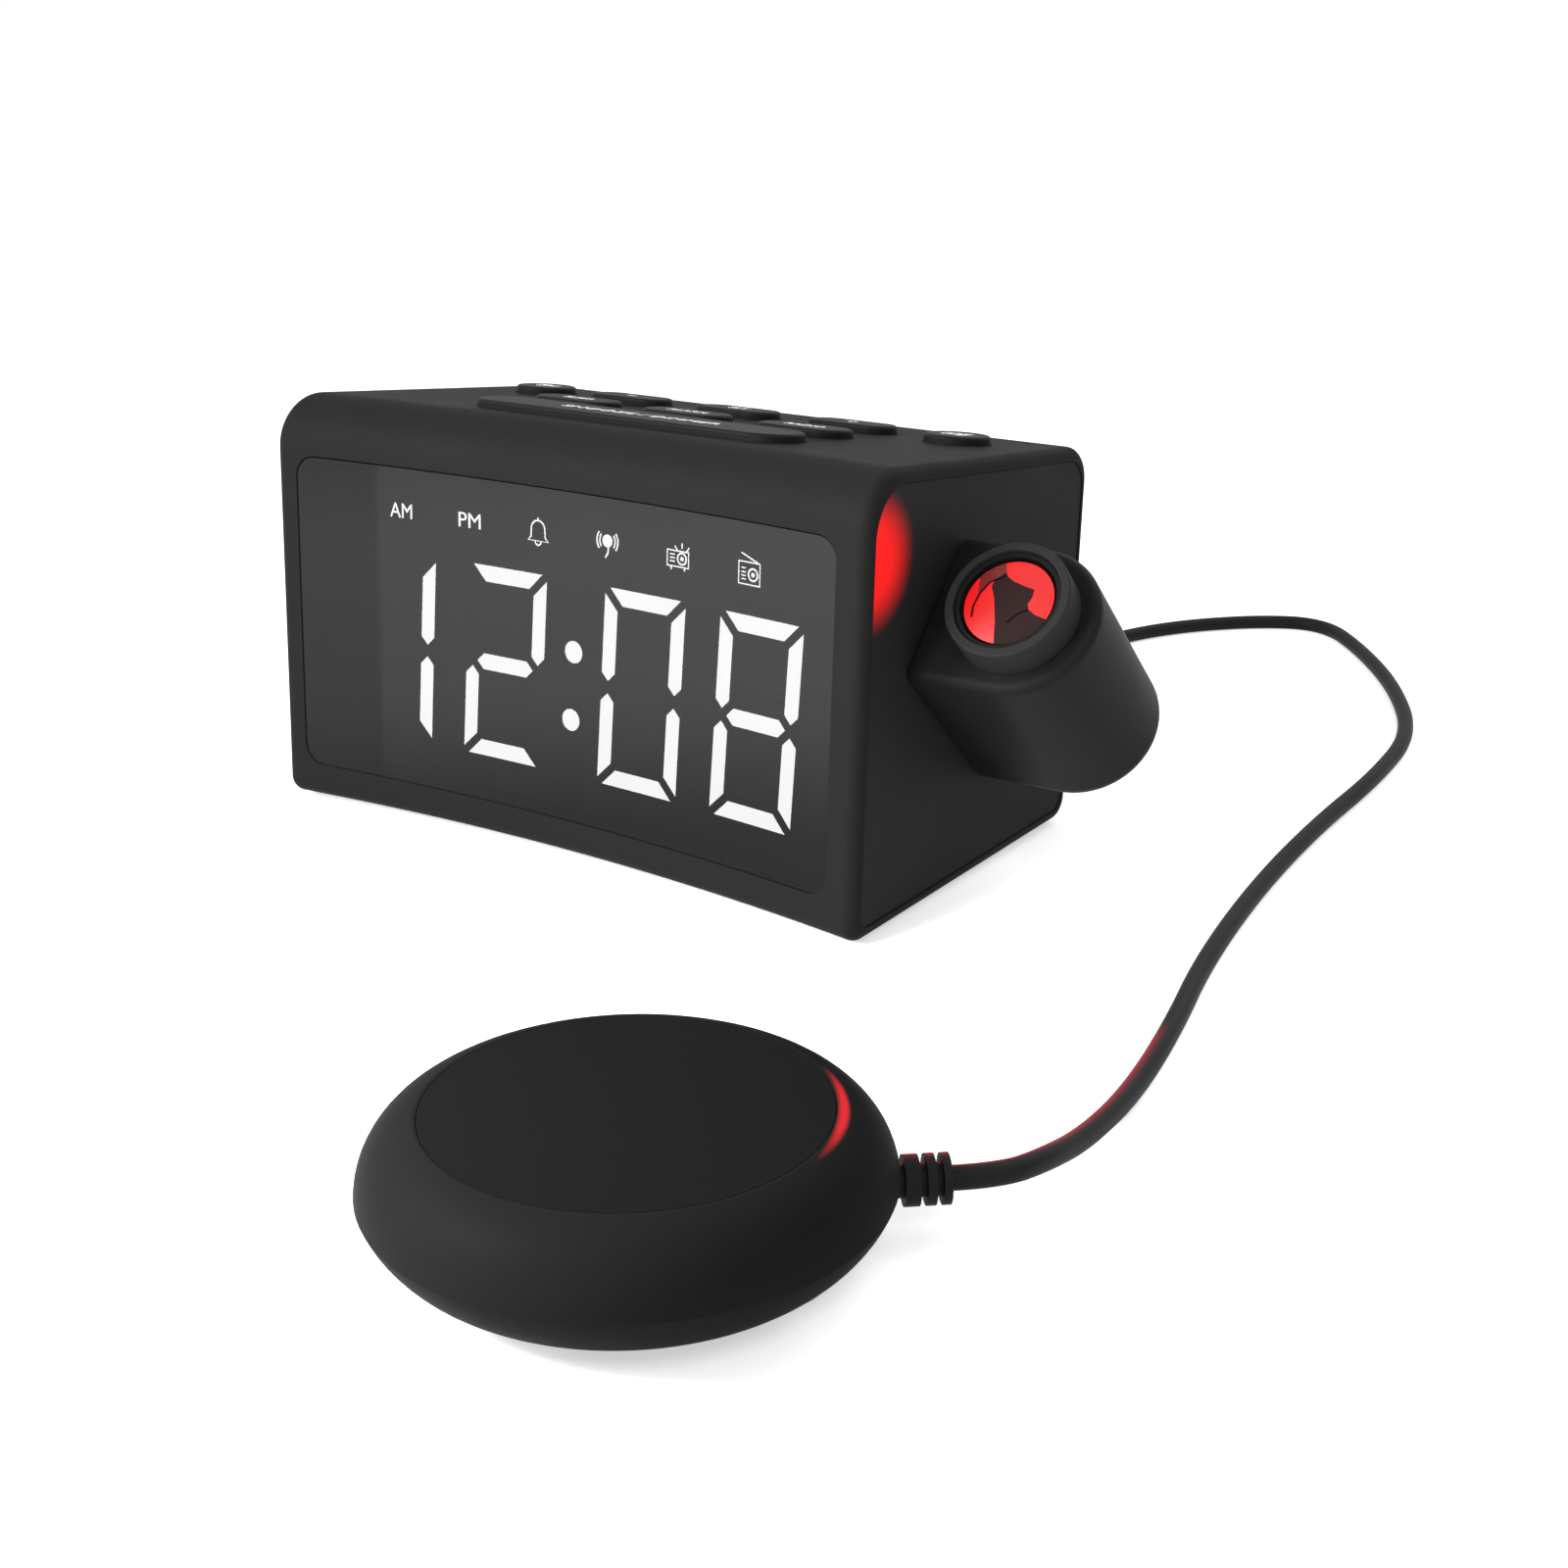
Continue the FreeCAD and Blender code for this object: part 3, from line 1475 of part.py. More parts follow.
def cord_wire(points):
    """Straight runs joined by tangent arcs, and the arcs' radii."""
    edges = []
    radii = []
    last = points[0]
    for before, corner, after in zip(points, points[1:], points[2:]):
        back = before - corner
        ahead = after - corner
        shorter = min(back.Length, ahead.Length)
        reach = cord_arc_share * shorter
        half_angle = back.getAngle(ahead) / 2
        radius = reach * math.tan(half_angle)
        radii.append(radius)
        middle_way = (vector(*back).normalize() + vector(*ahead).normalize()).normalize()
        start = corner + vector(*back).normalize() * reach
        end = corner + vector(*ahead).normalize() * reach
        centre = corner + middle_way * (radius / math.sin(half_angle))
        edges.append(Part.makeLine(last, start))
        edges.append(Part.Arc(start, centre - middle_way * radius, end).toShape())
        last = end
    edges.append(Part.makeLine(last, points[-1]))
    return Part.Wire(edges), radii


def shaker_cord():
    points = cord_path()
    path, radii = cord_wire(points)
    direction = (points[1] - points[0]).normalize()
    print("cord starts at", points[0], "and ends at", points[-1])
    section = Part.Wire(Part.makeCircle(cord_radius, points[0], direction))
    cord = path.makePipeShell([section], True, False)
    expected = math.pi * cord_radius ** 2 * path.Length
    print("cord length", round(path.Length, 1), "volume share", round(cord.Volume / expected, 4))
    print("cord arc radii", [round(radius, 1) for radius in radii])
    runs = [(b - a).Length for a, b in zip(points, points[1:])]
    print("cord runs", [round(run, 1) for run in runs])
    return cord


def cord_plug():
    """Moulded plug with a tapered strain relief, against the socket's collar."""
    start = vector(shaker_jack_x, socket_face_y, socket_z)
    body = rod(start, Y_AXIS, plug_radius, plug_length)
    rim = [edge for edge in body.Edges if edge.BoundBox.YLength < tiny]
    body = body.makeFillet(plug_radius - plug_taper_radius - running_gap, rim[:1])
    taper = Part.makeCone(plug_radius - seat_gap, plug_taper_radius, plug_taper_length,
                          start + Y_AXIS * plug_length, Y_AXIS)
    return body.fuse(taper).removeSplitter()


def plug_tip():
    start = vector(shaker_jack_x, socket_face_y - plug_tip_length, socket_z)
    return rod(start, Y_AXIS, plug_tip_radius, plug_tip_length)


def build_nodes():
    """All nodes, in the clock's own frame."""
    nodes = {
        "case_shell": case_shell(),
        "end_panel_left": end_panel(-1),
        "end_panel_right": end_panel(1),
        "display_window": display_window(),
        "lit_segments": segments(True),
        "dark_segments": segments(False),
        "display_mask": display_mask(),
        "display_board": display_board(),
        "board_screws": board_screws(),
        "key_board": key_board(),
        "key_switches": key_switches(),
        "rear_cover": rear_cover(),
        "cover_screws": cover_screws(),
        "speaker_frame": speaker_frame(),
        "speaker_magnet": speaker_magnet(),
        "main_board": main_board(),
        "board_parts": board_parts(),
        "dc_jack": dc_jack(),
        "shaker_jack": shaker_jack(),
        "cell_cap": cell_cap(),
        "backup_cell": backup_cell(),
        "cell_contact": cell_contact(),
        "rubber_feet": rubber_feet(),
        "pivot_bush": pivot_bush(),
        "friction_washer": friction_washer(),
        "arm_housing": arm_housing(),
        "arm_plate": arm_plate(),
        "arm_screws": arm_screws(),
        "arm_shaft": arm_shaft(),
        "shaft_clip": shaft_clip(),
        "focus_ring": focus_ring(),
        "lens_tube": lens_tube(),
        "projector_lens": projector_lens(),
        "slide_tube": slide_tube(),
        "image_slide": image_slide(),
        "condenser_lens": condenser_lens(),
        "lamp_board": lamp_board(),
        "projector_lamp": projector_lamp(),
        "shaker_cover": shaker_cover(),
        "shaker_disc": shaker_disc(),
        "shaker_base": shaker_base(),
        "shaker_pad": shaker_pad(),
        "shaker_screws": shaker_screws(),
        "motor": motor(),
        "motor_strap": motor_strap(),
        "motor_shaft": motor_shaft(),
        "eccentric_weight": eccentric_weight(),
        "cord_relief": cord_relief(),
        "shaker_cord": shaker_cord(),
        "cord_plug": cord_plug(),
        "plug_tip": plug_tip(),
    }
    for name in KEYS:
        nodes[name] = key(name)
    return nodes


def main():
    os.makedirs("parts", exist_ok=True)
    nodes = build_nodes()
    loose = ("shaker_cord", "cord_plug", "plug_tip")
    standing = group([shape for name, shape in nodes.items() if name not in loose])
    box = standing.optimalBoundingBox()
    origin = vector(box.Center.x, box.Center.y, 0)
    print("origin in the clock's frame", origin)
    print("box", box)
    for name, shape in nodes.items():
        shape = moved(shape, -origin.x, -origin.y, 0)
        if not shape.isValid():
            print("not valid", name)
        print(name, len(shape.Solids), round(shape.Volume, 1))
        shape.exportStep("parts/" + name + ".step")
    places = {
        "arm": (pivot_frame.Base, side_normal),
        "lens": (arm_frame.multVec(face_point(0)), arm_frame.Rotation.multVec(Z_AXIS)),
        "keys": (top_frame.Base, top_frame.Rotation.multVec(-Z_AXIS)),
        "cap": (vector(cell_x, cell_y, foot_height), Z_AXIS),
        "motor": (shaker_frame.multVec(vector(0, 0, motor_height)),
                  shaker_frame.Rotation.multVec(X_AXIS)),
    }
    for name, (place, axis) in places.items():
        print("place", name, place - origin, "axis", axis)


main()
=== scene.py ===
"""Looks of the alarm clock with a projector arm and a bed shaker on a cord.

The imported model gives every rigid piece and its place. This script dresses those pieces,
adds the cord, the lettering and the small things that show, and sets up the studio.
Places are in the clock's own frame in millimetres: X right, Y to the rear and Z up, from the
middle of the front edge of the case on the table. PlaceFinder turns them into metres.
"""
import logging
import math
from dataclasses import dataclass
from enum import Enum
from typing import Callable, Optional, Sequence

import bpy
from mathutils import Matrix, Vector

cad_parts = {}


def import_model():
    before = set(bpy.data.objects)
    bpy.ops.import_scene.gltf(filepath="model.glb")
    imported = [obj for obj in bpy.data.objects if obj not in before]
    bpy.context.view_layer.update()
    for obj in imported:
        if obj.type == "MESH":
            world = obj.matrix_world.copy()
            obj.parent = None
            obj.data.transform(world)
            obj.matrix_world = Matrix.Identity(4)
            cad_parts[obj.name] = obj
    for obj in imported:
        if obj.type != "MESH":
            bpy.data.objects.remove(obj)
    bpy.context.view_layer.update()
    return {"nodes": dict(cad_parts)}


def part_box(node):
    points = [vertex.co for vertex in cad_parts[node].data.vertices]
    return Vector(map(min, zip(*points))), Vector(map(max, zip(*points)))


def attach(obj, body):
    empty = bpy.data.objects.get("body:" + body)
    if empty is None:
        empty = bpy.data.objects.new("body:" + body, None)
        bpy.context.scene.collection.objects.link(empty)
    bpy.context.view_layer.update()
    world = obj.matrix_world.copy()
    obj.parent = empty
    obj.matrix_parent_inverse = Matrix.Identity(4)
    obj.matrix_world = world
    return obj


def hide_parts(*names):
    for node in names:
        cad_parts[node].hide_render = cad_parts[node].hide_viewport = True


MM = 0.001
log = logging.getLogger("alarm_clock")

Point = tuple[float, float, float]
FlatPoint = tuple[float, float]
Piece = bpy.types.Object
Tree = bpy.types.NodeTree
Node = bpy.types.Node
Socket = bpy.types.NodeSocket
Material = bpy.types.Material

WHITE = (1.0, 1.0, 1.0, 1.0)
ABS_IOR = 1.5
ACRYLIC_IOR = 1.49
# Share of a mottled colour that its darker spots keep
DARKER_SHARE = 0.9
# Thickness of printed and lit marks, in millimetres
MARK_THICKNESS = 0.06
# Share of a font's size that its capitals take up
CAPITAL_SHARE = 0.7
# The middle of the four feet is this far behind the clock's origin, in millimetres
FEET_MIDDLE = 64.5
# Edges between faces that meet at less than this look rounded
SMOOTH_ANGLE = math.radians(30)


class Body(Enum):
    """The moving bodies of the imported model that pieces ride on."""

    CLOCK = "clock"
    LENS = "lens"
    SNOOZE = "snooze_bar"
    SLEEP = "sleep_key"
    ALARM = "alarm_key"
    RADIO = "radio_key"
    MINUS = "minus_key"
    SET = "set_key"
    PLUS = "plus_key"
    SHAKER_KEY = "shaker_key"
    PROJECTOR_KEY = "projector_key"


@dataclass(frozen=True)
class PlaceFinder:
    """Turns places in the clock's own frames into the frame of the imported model.

    Args:
        origin: the clock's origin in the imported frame, in metres.
        lean: how far the front leans back.
        slope: how far the top rises to the rear.
        taper: how far the sides draw in for each millimetre back.
        height: length of the front along its slope.
        foot: height of the case over the table.
        half_width: half the width of the front.
        sag: how far the front curves in at its middle.
        arm_pivot: depth and height of the arm's pivot on the side.
        arm_tilt: degrees that the arm is turned up from level.
    """

    origin: Vector
    lean: float = math.radians(2.8)
    slope: float = math.radians(5.6)
    taper: float = math.tan(math.radians(2.3))
    height: float = 104.5
    foot: float = 1.2
    half_width: float = 90.0
    sag: float = 7.0
    arm_pivot: FlatPoint = (55.4, 50.8)
    arm_tilt: float = 47.0

    def at(self, x: float, y: float, z: float) -> Vector:
        """A point of the clock's frame, in metres."""
        return self.origin + Vector((x, y, z)) * MM

    def front(self, x: float, z: float, depth: float = 0.0) -> Vector:
        """A point on the hollow front, z along its slope, depth into the case."""
        radius = (self.half_width ** 2 + self.sag ** 2) / (2 * self.sag) + depth
        y = self.sag - (radius - depth) + math.sqrt(radius ** 2 - x ** 2)
        turn = Matrix.Rotation(-self.lean, 3, "X")
        place = turn @ Vector((x, y, z)) + Vector((0, 0, self.foot))
        return self.at(*place)

    def top(self, x: float, y: float, rise: float = 0.0) -> Vector:
        """A point on the sloping top, y back from its front edge, rise above it."""
        turn = Matrix.Rotation(-self.slope, 3, "X")
        start = Vector((0, math.tan(self.lean) * self.height, self.foot + self.height))
        return self.at(*(turn @ Vector((x, y, rise)) + start))

    def side_axes(self) -> tuple[Vector, Vector, Vector]:
        """Outward, rearward and upward directions of the right-hand side."""
        out = Vector((1, self.taper, -self.taper * math.tan(self.lean))).normalized()
        along = Vector((-self.taper, 1, 0)).normalized()
        return out, along, out.cross(along)

    def side(self, y: float, z: float) -> Vector:
        """A point on the right-hand side at a depth and a height."""
        x = self.half_width - self.taper * (y - math.tan(self.lean) * (z - self.foot))
        return self.at(x, y, z)

    def arm(self, x: float, e: float, n: float) -> Vector:
        """A point of the projector arm at rest: x out of the side, n along the lens axis."""
        outward, along, up = self.side_axes()
        tilt = math.radians(self.arm_tilt)
        edge = along * math.cos(tilt) + up * math.sin(tilt)
        axis = up * math.cos(tilt) - along * math.sin(tilt)
        pivot = self.side(*self.arm_pivot)
        return pivot + (outward * x + edge * e + axis * n) * MM


def linear(hex_colour: str) -> tuple[float, float, float, float]:
    """Linear colour of an sRGB hex value.

    Args:
        hex_colour: six hex digits, such as "2B2B2C".

    Returns:
        Red, green, blue and alpha.
    """
    channels = []
    for start in (0, 2, 4):
        share = int(hex_colour[start:start + 2], 16) / 255
        channels.append(share / 12.92 if share <= 0.04045 else ((share + 0.055) / 1.055) ** 2.4)
    return (*channels, 1.0)


def add_node(tree: Tree, kind: str, settings: Optional[dict] = None,
             links: Optional[dict] = None) -> Node:
    """Adds a shader node with its settings and links.

    Args:
        tree: the node tree.
        kind: the node's type name after ShaderNode.
        settings: attributes by name and socket values by name or number.
        links: output sockets, or nodes for their first one, by the input that they feed.

    Returns:
        The new node.
    """
    node = tree.nodes.new("ShaderNode" + kind)
    for name, value in (settings or {}).items():
        if isinstance(name, str) and hasattr(node, name):
            setattr(node, name, value)
        else:
            node.inputs[name].default_value = value
    for name, source in (links or {}).items():
        socket = source.outputs[0] if isinstance(source, Node) else source
        tree.links.new(socket, node.inputs[name])
    return node


def emptied(owner: bpy.types.ID) -> Tree:
    """Gives the node tree of a new material or world without its nodes."""
    owner.use_nodes = True
    owner.node_tree.nodes.clear()
    return owner.node_tree


def places_on(tree: Tree) -> Socket:
    """Places on the piece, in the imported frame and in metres."""
    return add_node(tree, "TexCoord").outputs["Object"]


def noise(tree: Tree, cell_mm: float, settings: Optional[dict] = None) -> Socket:
    """Soft noise from 0 to 1 over the piece, with cells of a size in millimetres."""
    made = add_node(tree, "TexNoise", {"Scale": 1 / (cell_mm * MM), **(settings or {})},
                    {"Vector": places_on(tree)})
    return made.outputs[0]


def mottled(tree: Tree, colour: str, share: Socket) -> Socket:
    """A colour that is a little darker where share is high."""
    base = linear(colour)
    darker = tuple(channel * DARKER_SHARE for channel in base[:3]) + (1.0,)
    mixed = add_node(tree, "Mix", {"data_type": "RGBA", 6: base, 7: darker}, {0: share})
    return mixed.outputs[2]


def seen_directly(tree: Tree) -> Socket:
    """1 for the camera and for what shiny and clear faces show, 0 for other light."""
    path = add_node(tree, "LightPath")
    shown = path.outputs["Is Camera Ray"]
    for kind in ("Is Glossy Ray", "Is Transmission Ray"):
        either = add_node(tree, "Math", {"operation": "MAXIMUM"},
                          {0: shown, 1: path.outputs[kind]})
        shown = either.outputs[0]
    return shown


def put_in_scene(name: str, data: bpy.types.ID) -> Piece:
    """Makes an object of new data and links it to the scene."""
    made = bpy.data.objects.new(name, data)
    bpy.context.scene.collection.objects.link(made)
    return made


def added(operator: Callable, **settings: object) -> Piece:
    """Adds an object with nothing else selected."""
    bpy.ops.object.select_all(action="DESELECT")
    operator(**settings)
    return bpy.context.object


@dataclass(frozen=True)
class Finish:
    """What a piece is made of. It is named as its material is."""

    name: str

    def make(self) -> Material:
        """Makes the material."""
        material = bpy.data.materials.new(self.name)
        tree = emptied(material)
        add_node(tree, "OutputMaterial", {}, {0: self.shader(tree)})
        return material

    def shader(self, tree: Tree) -> Node:
        """Makes the node that gives the material its look."""
        raise NotImplementedError


@dataclass(frozen=True)
class MouldedPlastic(Finish):
    """Injection-moulded plastic: a colour, a fine spark-eroded grain and handling marks.

    Args:
        colour: sRGB hex of the plastic.
        roughness: how matt it is.
        specular: specular level, 0.5 for all that the IOR gives.
        grain_mm: size of the mould's grain.
        grain_depth: strength of the grain's bump.
        mottle: how much the gloss varies over the surface.
        patch_mm: size of the patches of gloss, as the mould's polish wears unevenly.
        grain_height_mm: height of the grain.
    """

    colour: str
    roughness: float = 0.45
    specular: float = 0.5
    grain_mm: float = 0.5
    grain_depth: float = 0.12
    mottle: float = 0.06
    patch_mm: float = 25.0
    grain_height_mm: float = 0.04

    def shader(self, tree: Tree) -> Node:
        """Makes the plastic."""
        grain = noise(tree, self.grain_mm, {"Detail": 3.0, "Roughness": 0.55})
        gloss = add_node(tree, "MapRange",
                         {3: self.roughness - self.mottle, 4: self.roughness + self.mottle},
                         {0: noise(tree, self.patch_mm)})
        bump = add_node(tree, "Bump",
                        {"Strength": self.grain_depth, "Distance": self.grain_height_mm * MM},
                        {"Height": grain})
        return add_node(tree, "BsdfPrincipled",
                        {"IOR": ABS_IOR, "Specular IOR Level": self.specular},
                        {"Base Color": mottled(tree, self.colour, grain),
                         "Roughness": gloss, "Normal": bump})


@dataclass(frozen=True)
class LitPlastic(Finish):
    """Light guide or printed mark that is evenly bright, with a faint unevenness.

    Args:
        colour: sRGB hex of the light.
        strength: how bright it is, 1 for its own colour.
        cell_mm: size of the unevenness.
        uneven: share by which the light varies.
        body: sRGB hex of the plastic itself.
        roughness: how matt it is.
    """

    colour: str
    strength: float = 1.0
    cell_mm: float = 9.0
    uneven: float = 0.04
    body: str = "E8E8E6"
    roughness: float = 0.4

    def shader(self, tree: Tree) -> Node:
        """Makes the plastic."""
        power = add_node(tree, "MapRange",
                         {3: self.strength * (1 - self.uneven),
                          4: self.strength * (1 + self.uneven)},
                         {0: noise(tree, self.cell_mm)})
        return add_node(tree, "BsdfPrincipled",
                        {"Base Color": linear(self.body), "Roughness": self.roughness,
                         "Emission Color": linear(self.colour)},
                        {"Emission Strength": power})


@dataclass(frozen=True)
class ClearAcrylic(Finish):
    """Polished acrylic, thin enough to shine straight through.

    Args:
        tint: sRGB hex that light takes on through it.
        haze: sRGB hex of the light that the pane scatters itself.
        roughness: how sharp its reflections are.
        specular: specular level of its face.
        through: share of the light behind that comes through.
        cloud_mm: size of the soft clouds in its haze and its polish.
    """

    tint: str
    haze: str
    roughness: float = 0.05
    specular: float = 0.5
    through: float = 0.5
    cloud_mm: float = 30.0

    def shader(self, tree: Tree) -> Node:
        """Makes the pane: a glossy face mixed with clear passage."""
        gloss = add_node(tree, "MapRange", {3: self.roughness, 4: self.roughness * 2},
                         {0: noise(tree, self.cloud_mm)})
        face = add_node(tree, "BsdfPrincipled",
                        {"IOR": ACRYLIC_IOR, "Specular IOR Level": self.specular},
                        {"Base Color": self.scatter(tree), "Roughness": gloss})
        # Light is coloured once, where it passes the outer face
        behind = add_node(tree, "NewGeometry").outputs["Backfacing"]
        tint = add_node(tree, "Mix",
                        {"data_type": "RGBA", 6: linear(self.tint), 7: WHITE}, {0: behind})
        share = add_node(tree, "MapRange", {3: self.through, 4: 1.0}, {0: behind})
        clear = add_node(tree, "BsdfTransparent", {}, {"Color": tint.outputs[2]})
        return add_node(tree, "MixShader", {}, {0: share, 1: face, 2: clear})

    def scatter(self, tree: Tree) -> Socket:
        """Colour of the haze, a little uneven."""
        return mottled(tree, self.haze, noise(tree, self.cloud_mm))


@dataclass(frozen=True)
class SmokedWindow(ClearAcrylic):
    """Smoked window film: painted shade darkens it towards the bottom; a darker strip at the
    left.

    Args:
        low: sRGB hex of the haze at the bottom, where the shade is painted.
        strip: share of the haze left in the strip.
        strip_x: where the strip ends, in metres.
        strip_soft: how far its edge fades to either side, in metres.
        bottom: height up to which the painted shade is full, in metres.
        top: height above which it is gone.
        slant: how much lower it lies for each metre to the right; negative for higher.
    """

    low: str = "1C1C1C"
    strip: float = 0.72
    strip_x: float = -0.0989
    strip_soft: float = 0.0012
    bottom: float = 0.012
    top: float = 0.055
    slant: float = -0.18

    def scatter(self, tree: Tree) -> Socket:
        """Colour of the haze, with painted shade towards the bottom, and darker in the strip."""
        axes = add_node(tree, "SeparateXYZ", {}, {0: places_on(tree)})
        slanted = add_node(tree, "Math", {"operation": "MULTIPLY_ADD", 1: self.slant},
                           {0: axes.outputs[0], 2: axes.outputs[2]})
        # Painted shade: the haze is darker towards the bottom
        rise = add_node(tree, "MapRange",
                        {"interpolation_type": "SMOOTHSTEP", 1: self.bottom, 2: self.top},
                        {0: slanted})
        film = add_node(tree, "Mix",
                        {"data_type": "RGBA", 6: linear(self.low), 7: linear(self.haze)},
                        {0: rise})
        edge = add_node(tree, "MapRange",
                        {"interpolation_type": "SMOOTHSTEP", 1: self.strip_x - self.strip_soft,
                         2: self.strip_x + self.strip_soft, 3: self.strip, 4: 1.0},
                        {0: axes.outputs[0]})
        darkened = add_node(tree, "VectorMath", {"operation": "SCALE"},
                            {0: film.outputs[2], 3: edge})
        return darkened.outputs[0]


@dataclass(frozen=True)
class PaintedLightPlastic(MouldedPlastic):
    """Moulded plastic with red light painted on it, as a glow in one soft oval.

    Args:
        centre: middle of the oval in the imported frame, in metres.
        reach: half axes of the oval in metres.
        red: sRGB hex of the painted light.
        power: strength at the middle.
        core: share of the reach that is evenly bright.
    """

    centre: Point = (0.0, 0.0, 0.0)
    reach: Point = (1.0, 1.0, 1.0)
    red: str = "FF2623"
    power: float = 1.0
    core: float = 0.35

    def shader(self, tree: Tree) -> Node:
        """Makes the plastic with the painted light on it."""
        plastic = super().shader(tree)
        # Painted red light: an emissive glow on the plastic, not a lamp
        plastic.inputs["Emission Color"].default_value = linear(self.red)
        moved = add_node(tree, "VectorMath",
                         {"operation": "SUBTRACT", 1: self.centre}, {0: places_on(tree)})
        far = add_node(tree, "VectorMath", {"operation": "LENGTH"},
                       {0: self.spread(tree, moved.outputs[0])})
        fade = add_node(tree, "MapRange",
                        {"interpolation_type": "SMOOTHSTEP", 1: self.core, 2: 1.0,
                         3: self.power, 4: 0.0}, {0: far.outputs["Value"]})
        tree.links.new(self.shaped(tree, fade.outputs[0]), plastic.inputs["Emission Strength"])
        return plastic

    def spread(self, tree: Tree, offset: Socket) -> Socket:
        """Turns the way from the centre into shares of the reach."""
        scaled = add_node(tree, "VectorMath", {"operation": "DIVIDE", 1: self.reach}, {0: offset})
        return scaled.outputs[0]

    def shaped(self, tree: Tree, power: Socket) -> Socket:
        """Leaves the light as it is."""
        return power


@dataclass(frozen=True)
class PaintedRimLightPlastic(PaintedLightPlastic):
    """Moulded plastic with a painted red crescent along a round rim: a painted reflection.

    The centre is a point on the rim's axis. The reach is across the rim in metres, along it
    in radians, and up and down in metres.

    Args:
        rim: radius of the lit rim in metres.
        bearing: direction of the crescent's middle, in radians.
    """

    rim: float = 0.03
    bearing: float = 0.0

    def spread(self, tree: Tree, offset: Socket) -> Socket:
        """Turns the way from the rim's axis into shares of the reach."""
        axes = add_node(tree, "SeparateXYZ", {}, {0: offset})
        level = add_node(tree, "CombineXYZ", {}, {0: axes.outputs[0], 1: axes.outputs[1]})
        radius = add_node(tree, "VectorMath", {"operation": "LENGTH"}, {0: level})
        outward = add_node(tree, "Math", {"operation": "SUBTRACT", 1: self.rim},
                           {0: radius.outputs["Value"]})
        angle = add_node(tree, "Math", {"operation": "ARCTAN2"},
                         {0: axes.outputs[1], 1: axes.outputs[0]})
        turned = add_node(tree, "Math", {"operation": "SUBTRACT", 1: self.bearing}, {0: angle})
        polar = add_node(tree, "CombineXYZ", {}, {0: outward, 1: turned, 2: axes.outputs[2]})
        return super().spread(tree, polar.outputs[0])


@dataclass(frozen=True)
class PaintedEdgeLightPlastic(PaintedLightPlastic):
    """Soft plastic with a painted red highlight, only on the side that faces a given direction.

    Args:
        facing: direction the painted light comes from, of length 1.
        graze: cosine of the angle at which the painted light begins.
    """

    facing: Point = (0.0, 0.0, 1.0)
    graze: float = 0.5

    def shaped(self, tree: Tree, power: Socket) -> Socket:
        """Keeps the painted light on the side that faces it."""
        surface = add_node(tree, "NewGeometry")
        turned = add_node(tree, "VectorMath", {"operation": "DOT_PRODUCT", 1: self.facing},
                          {0: surface.outputs["Normal"]})
        side = add_node(tree, "MapRange",
                        {"interpolation_type": "SMOOTHSTEP", 1: self.graze, 2: 1.0},
                        {0: turned.outputs["Value"]})
        kept = add_node(tree, "Math", {"operation": "MULTIPLY"}, {0: side, 1: power})
        return kept.outputs[0]


@dataclass(frozen=True)
class BareMetal(Finish):
    """Plated or turned metal with fine drawn lines.

    Args:
        colour: sRGB hex of the metal.
        roughness: how matt it is.
        line_mm: spacing of the tool's lines.
        line_height_mm: height of the lines.
        line_depth: strength of their bump.
        brighter: how much less matt it gets along them.
        duller: how much more matt.
    """

    colour: str
    roughness: float = 0.3
    line_mm: float = 0.3
    line_height_mm: float = 0.02
    line_depth: float = 0.1
    brighter: float = 0.08
    duller: float = 0.1

    def shader(self, tree: Tree) -> Node:
        """Makes the metal."""
        lines = noise(tree, self.line_mm)
        gloss = add_node(tree, "MapRange",
                         {3: self.roughness - self.brighter, 4: self.roughness + self.duller},
                         {0: lines})
        bump = add_node(tree, "Bump",
                        {"Strength": self.line_depth, "Distance": self.line_height_mm * MM},
                        {"Height": lines})
        return add_node(tree, "BsdfPrincipled",
                        {"Base Color": linear(self.colour), "Metallic": 1.0},
                        {"Roughness": gloss, "Normal": bump})


# ABS case, moulded in a spark-eroded tool: deep black with a low, soft sheen
CASE = MouldedPlastic("abs_case_black", "1E1E1F", 0.6, 0.03)
# End panels in the same ABS from a finer tool, a touch flatter
PANEL = MouldedPlastic("abs_panel_black", "232323", 0.62, 0.04)
# The right-hand panel, with painted red light where it spills on its front upper corner
PAINTED_LIGHT_PANEL = PaintedLightPlastic("abs_panel_painted_red_light", "232323", 0.62, 0.04,
                           centre=(0.0490, 0.0350, 0.0862), reach=(0.02, 0.0182, 0.0168),
                           red="FF0A07")
# Key caps in ABS, slightly glossier on top from fingers
KEY = MouldedPlastic("abs_key_black", "151516", 0.55, 0.08, grain_mm=0.4)
# Arm in ABS with a soft sheen
ARM = MouldedPlastic("abs_arm_black", "1B1B1C", 0.5, 0.05)
# Focus ring of ABS, a little paler than the arm
RING = MouldedPlastic("abs_ring_black", "272728", 0.55, 0.06)
# Shaker shell in ABS with a satin face, and a painted red reflection on its rim
SHAKER = PaintedRimLightPlastic("abs_shaker_painted_red_light", "191919", 0.55, 0.008,
                       centre=(0.086078, -0.092253, 0.0252), reach=(0.00125, 0.52, 0.004),
                       red="F4262B", power=0.85, core=0.25, rim=0.03535, bearing=0.58)
# ABS disc on top of it, a little more matt
DISC = MouldedPlastic("abs_disc_black", "131314", 0.6, 0.02)
# ABS mask behind the window, flat black so that the dark segments don't show
MASK = MouldedPlastic("abs_mask_black", "060606", 0.9, 0.0, grain_depth=0.0)
# Inner mouldings in ABS
INNER = MouldedPlastic("abs_inner_black", "101011", 0.6, 0.1)
# Soft PVC of the cord and its plug: matt, a little grey
CORD = MouldedPlastic("pvc_cord_black", "1A1A1B", 0.55, 0.08, grain_mm=0.35, grain_depth=0.2)
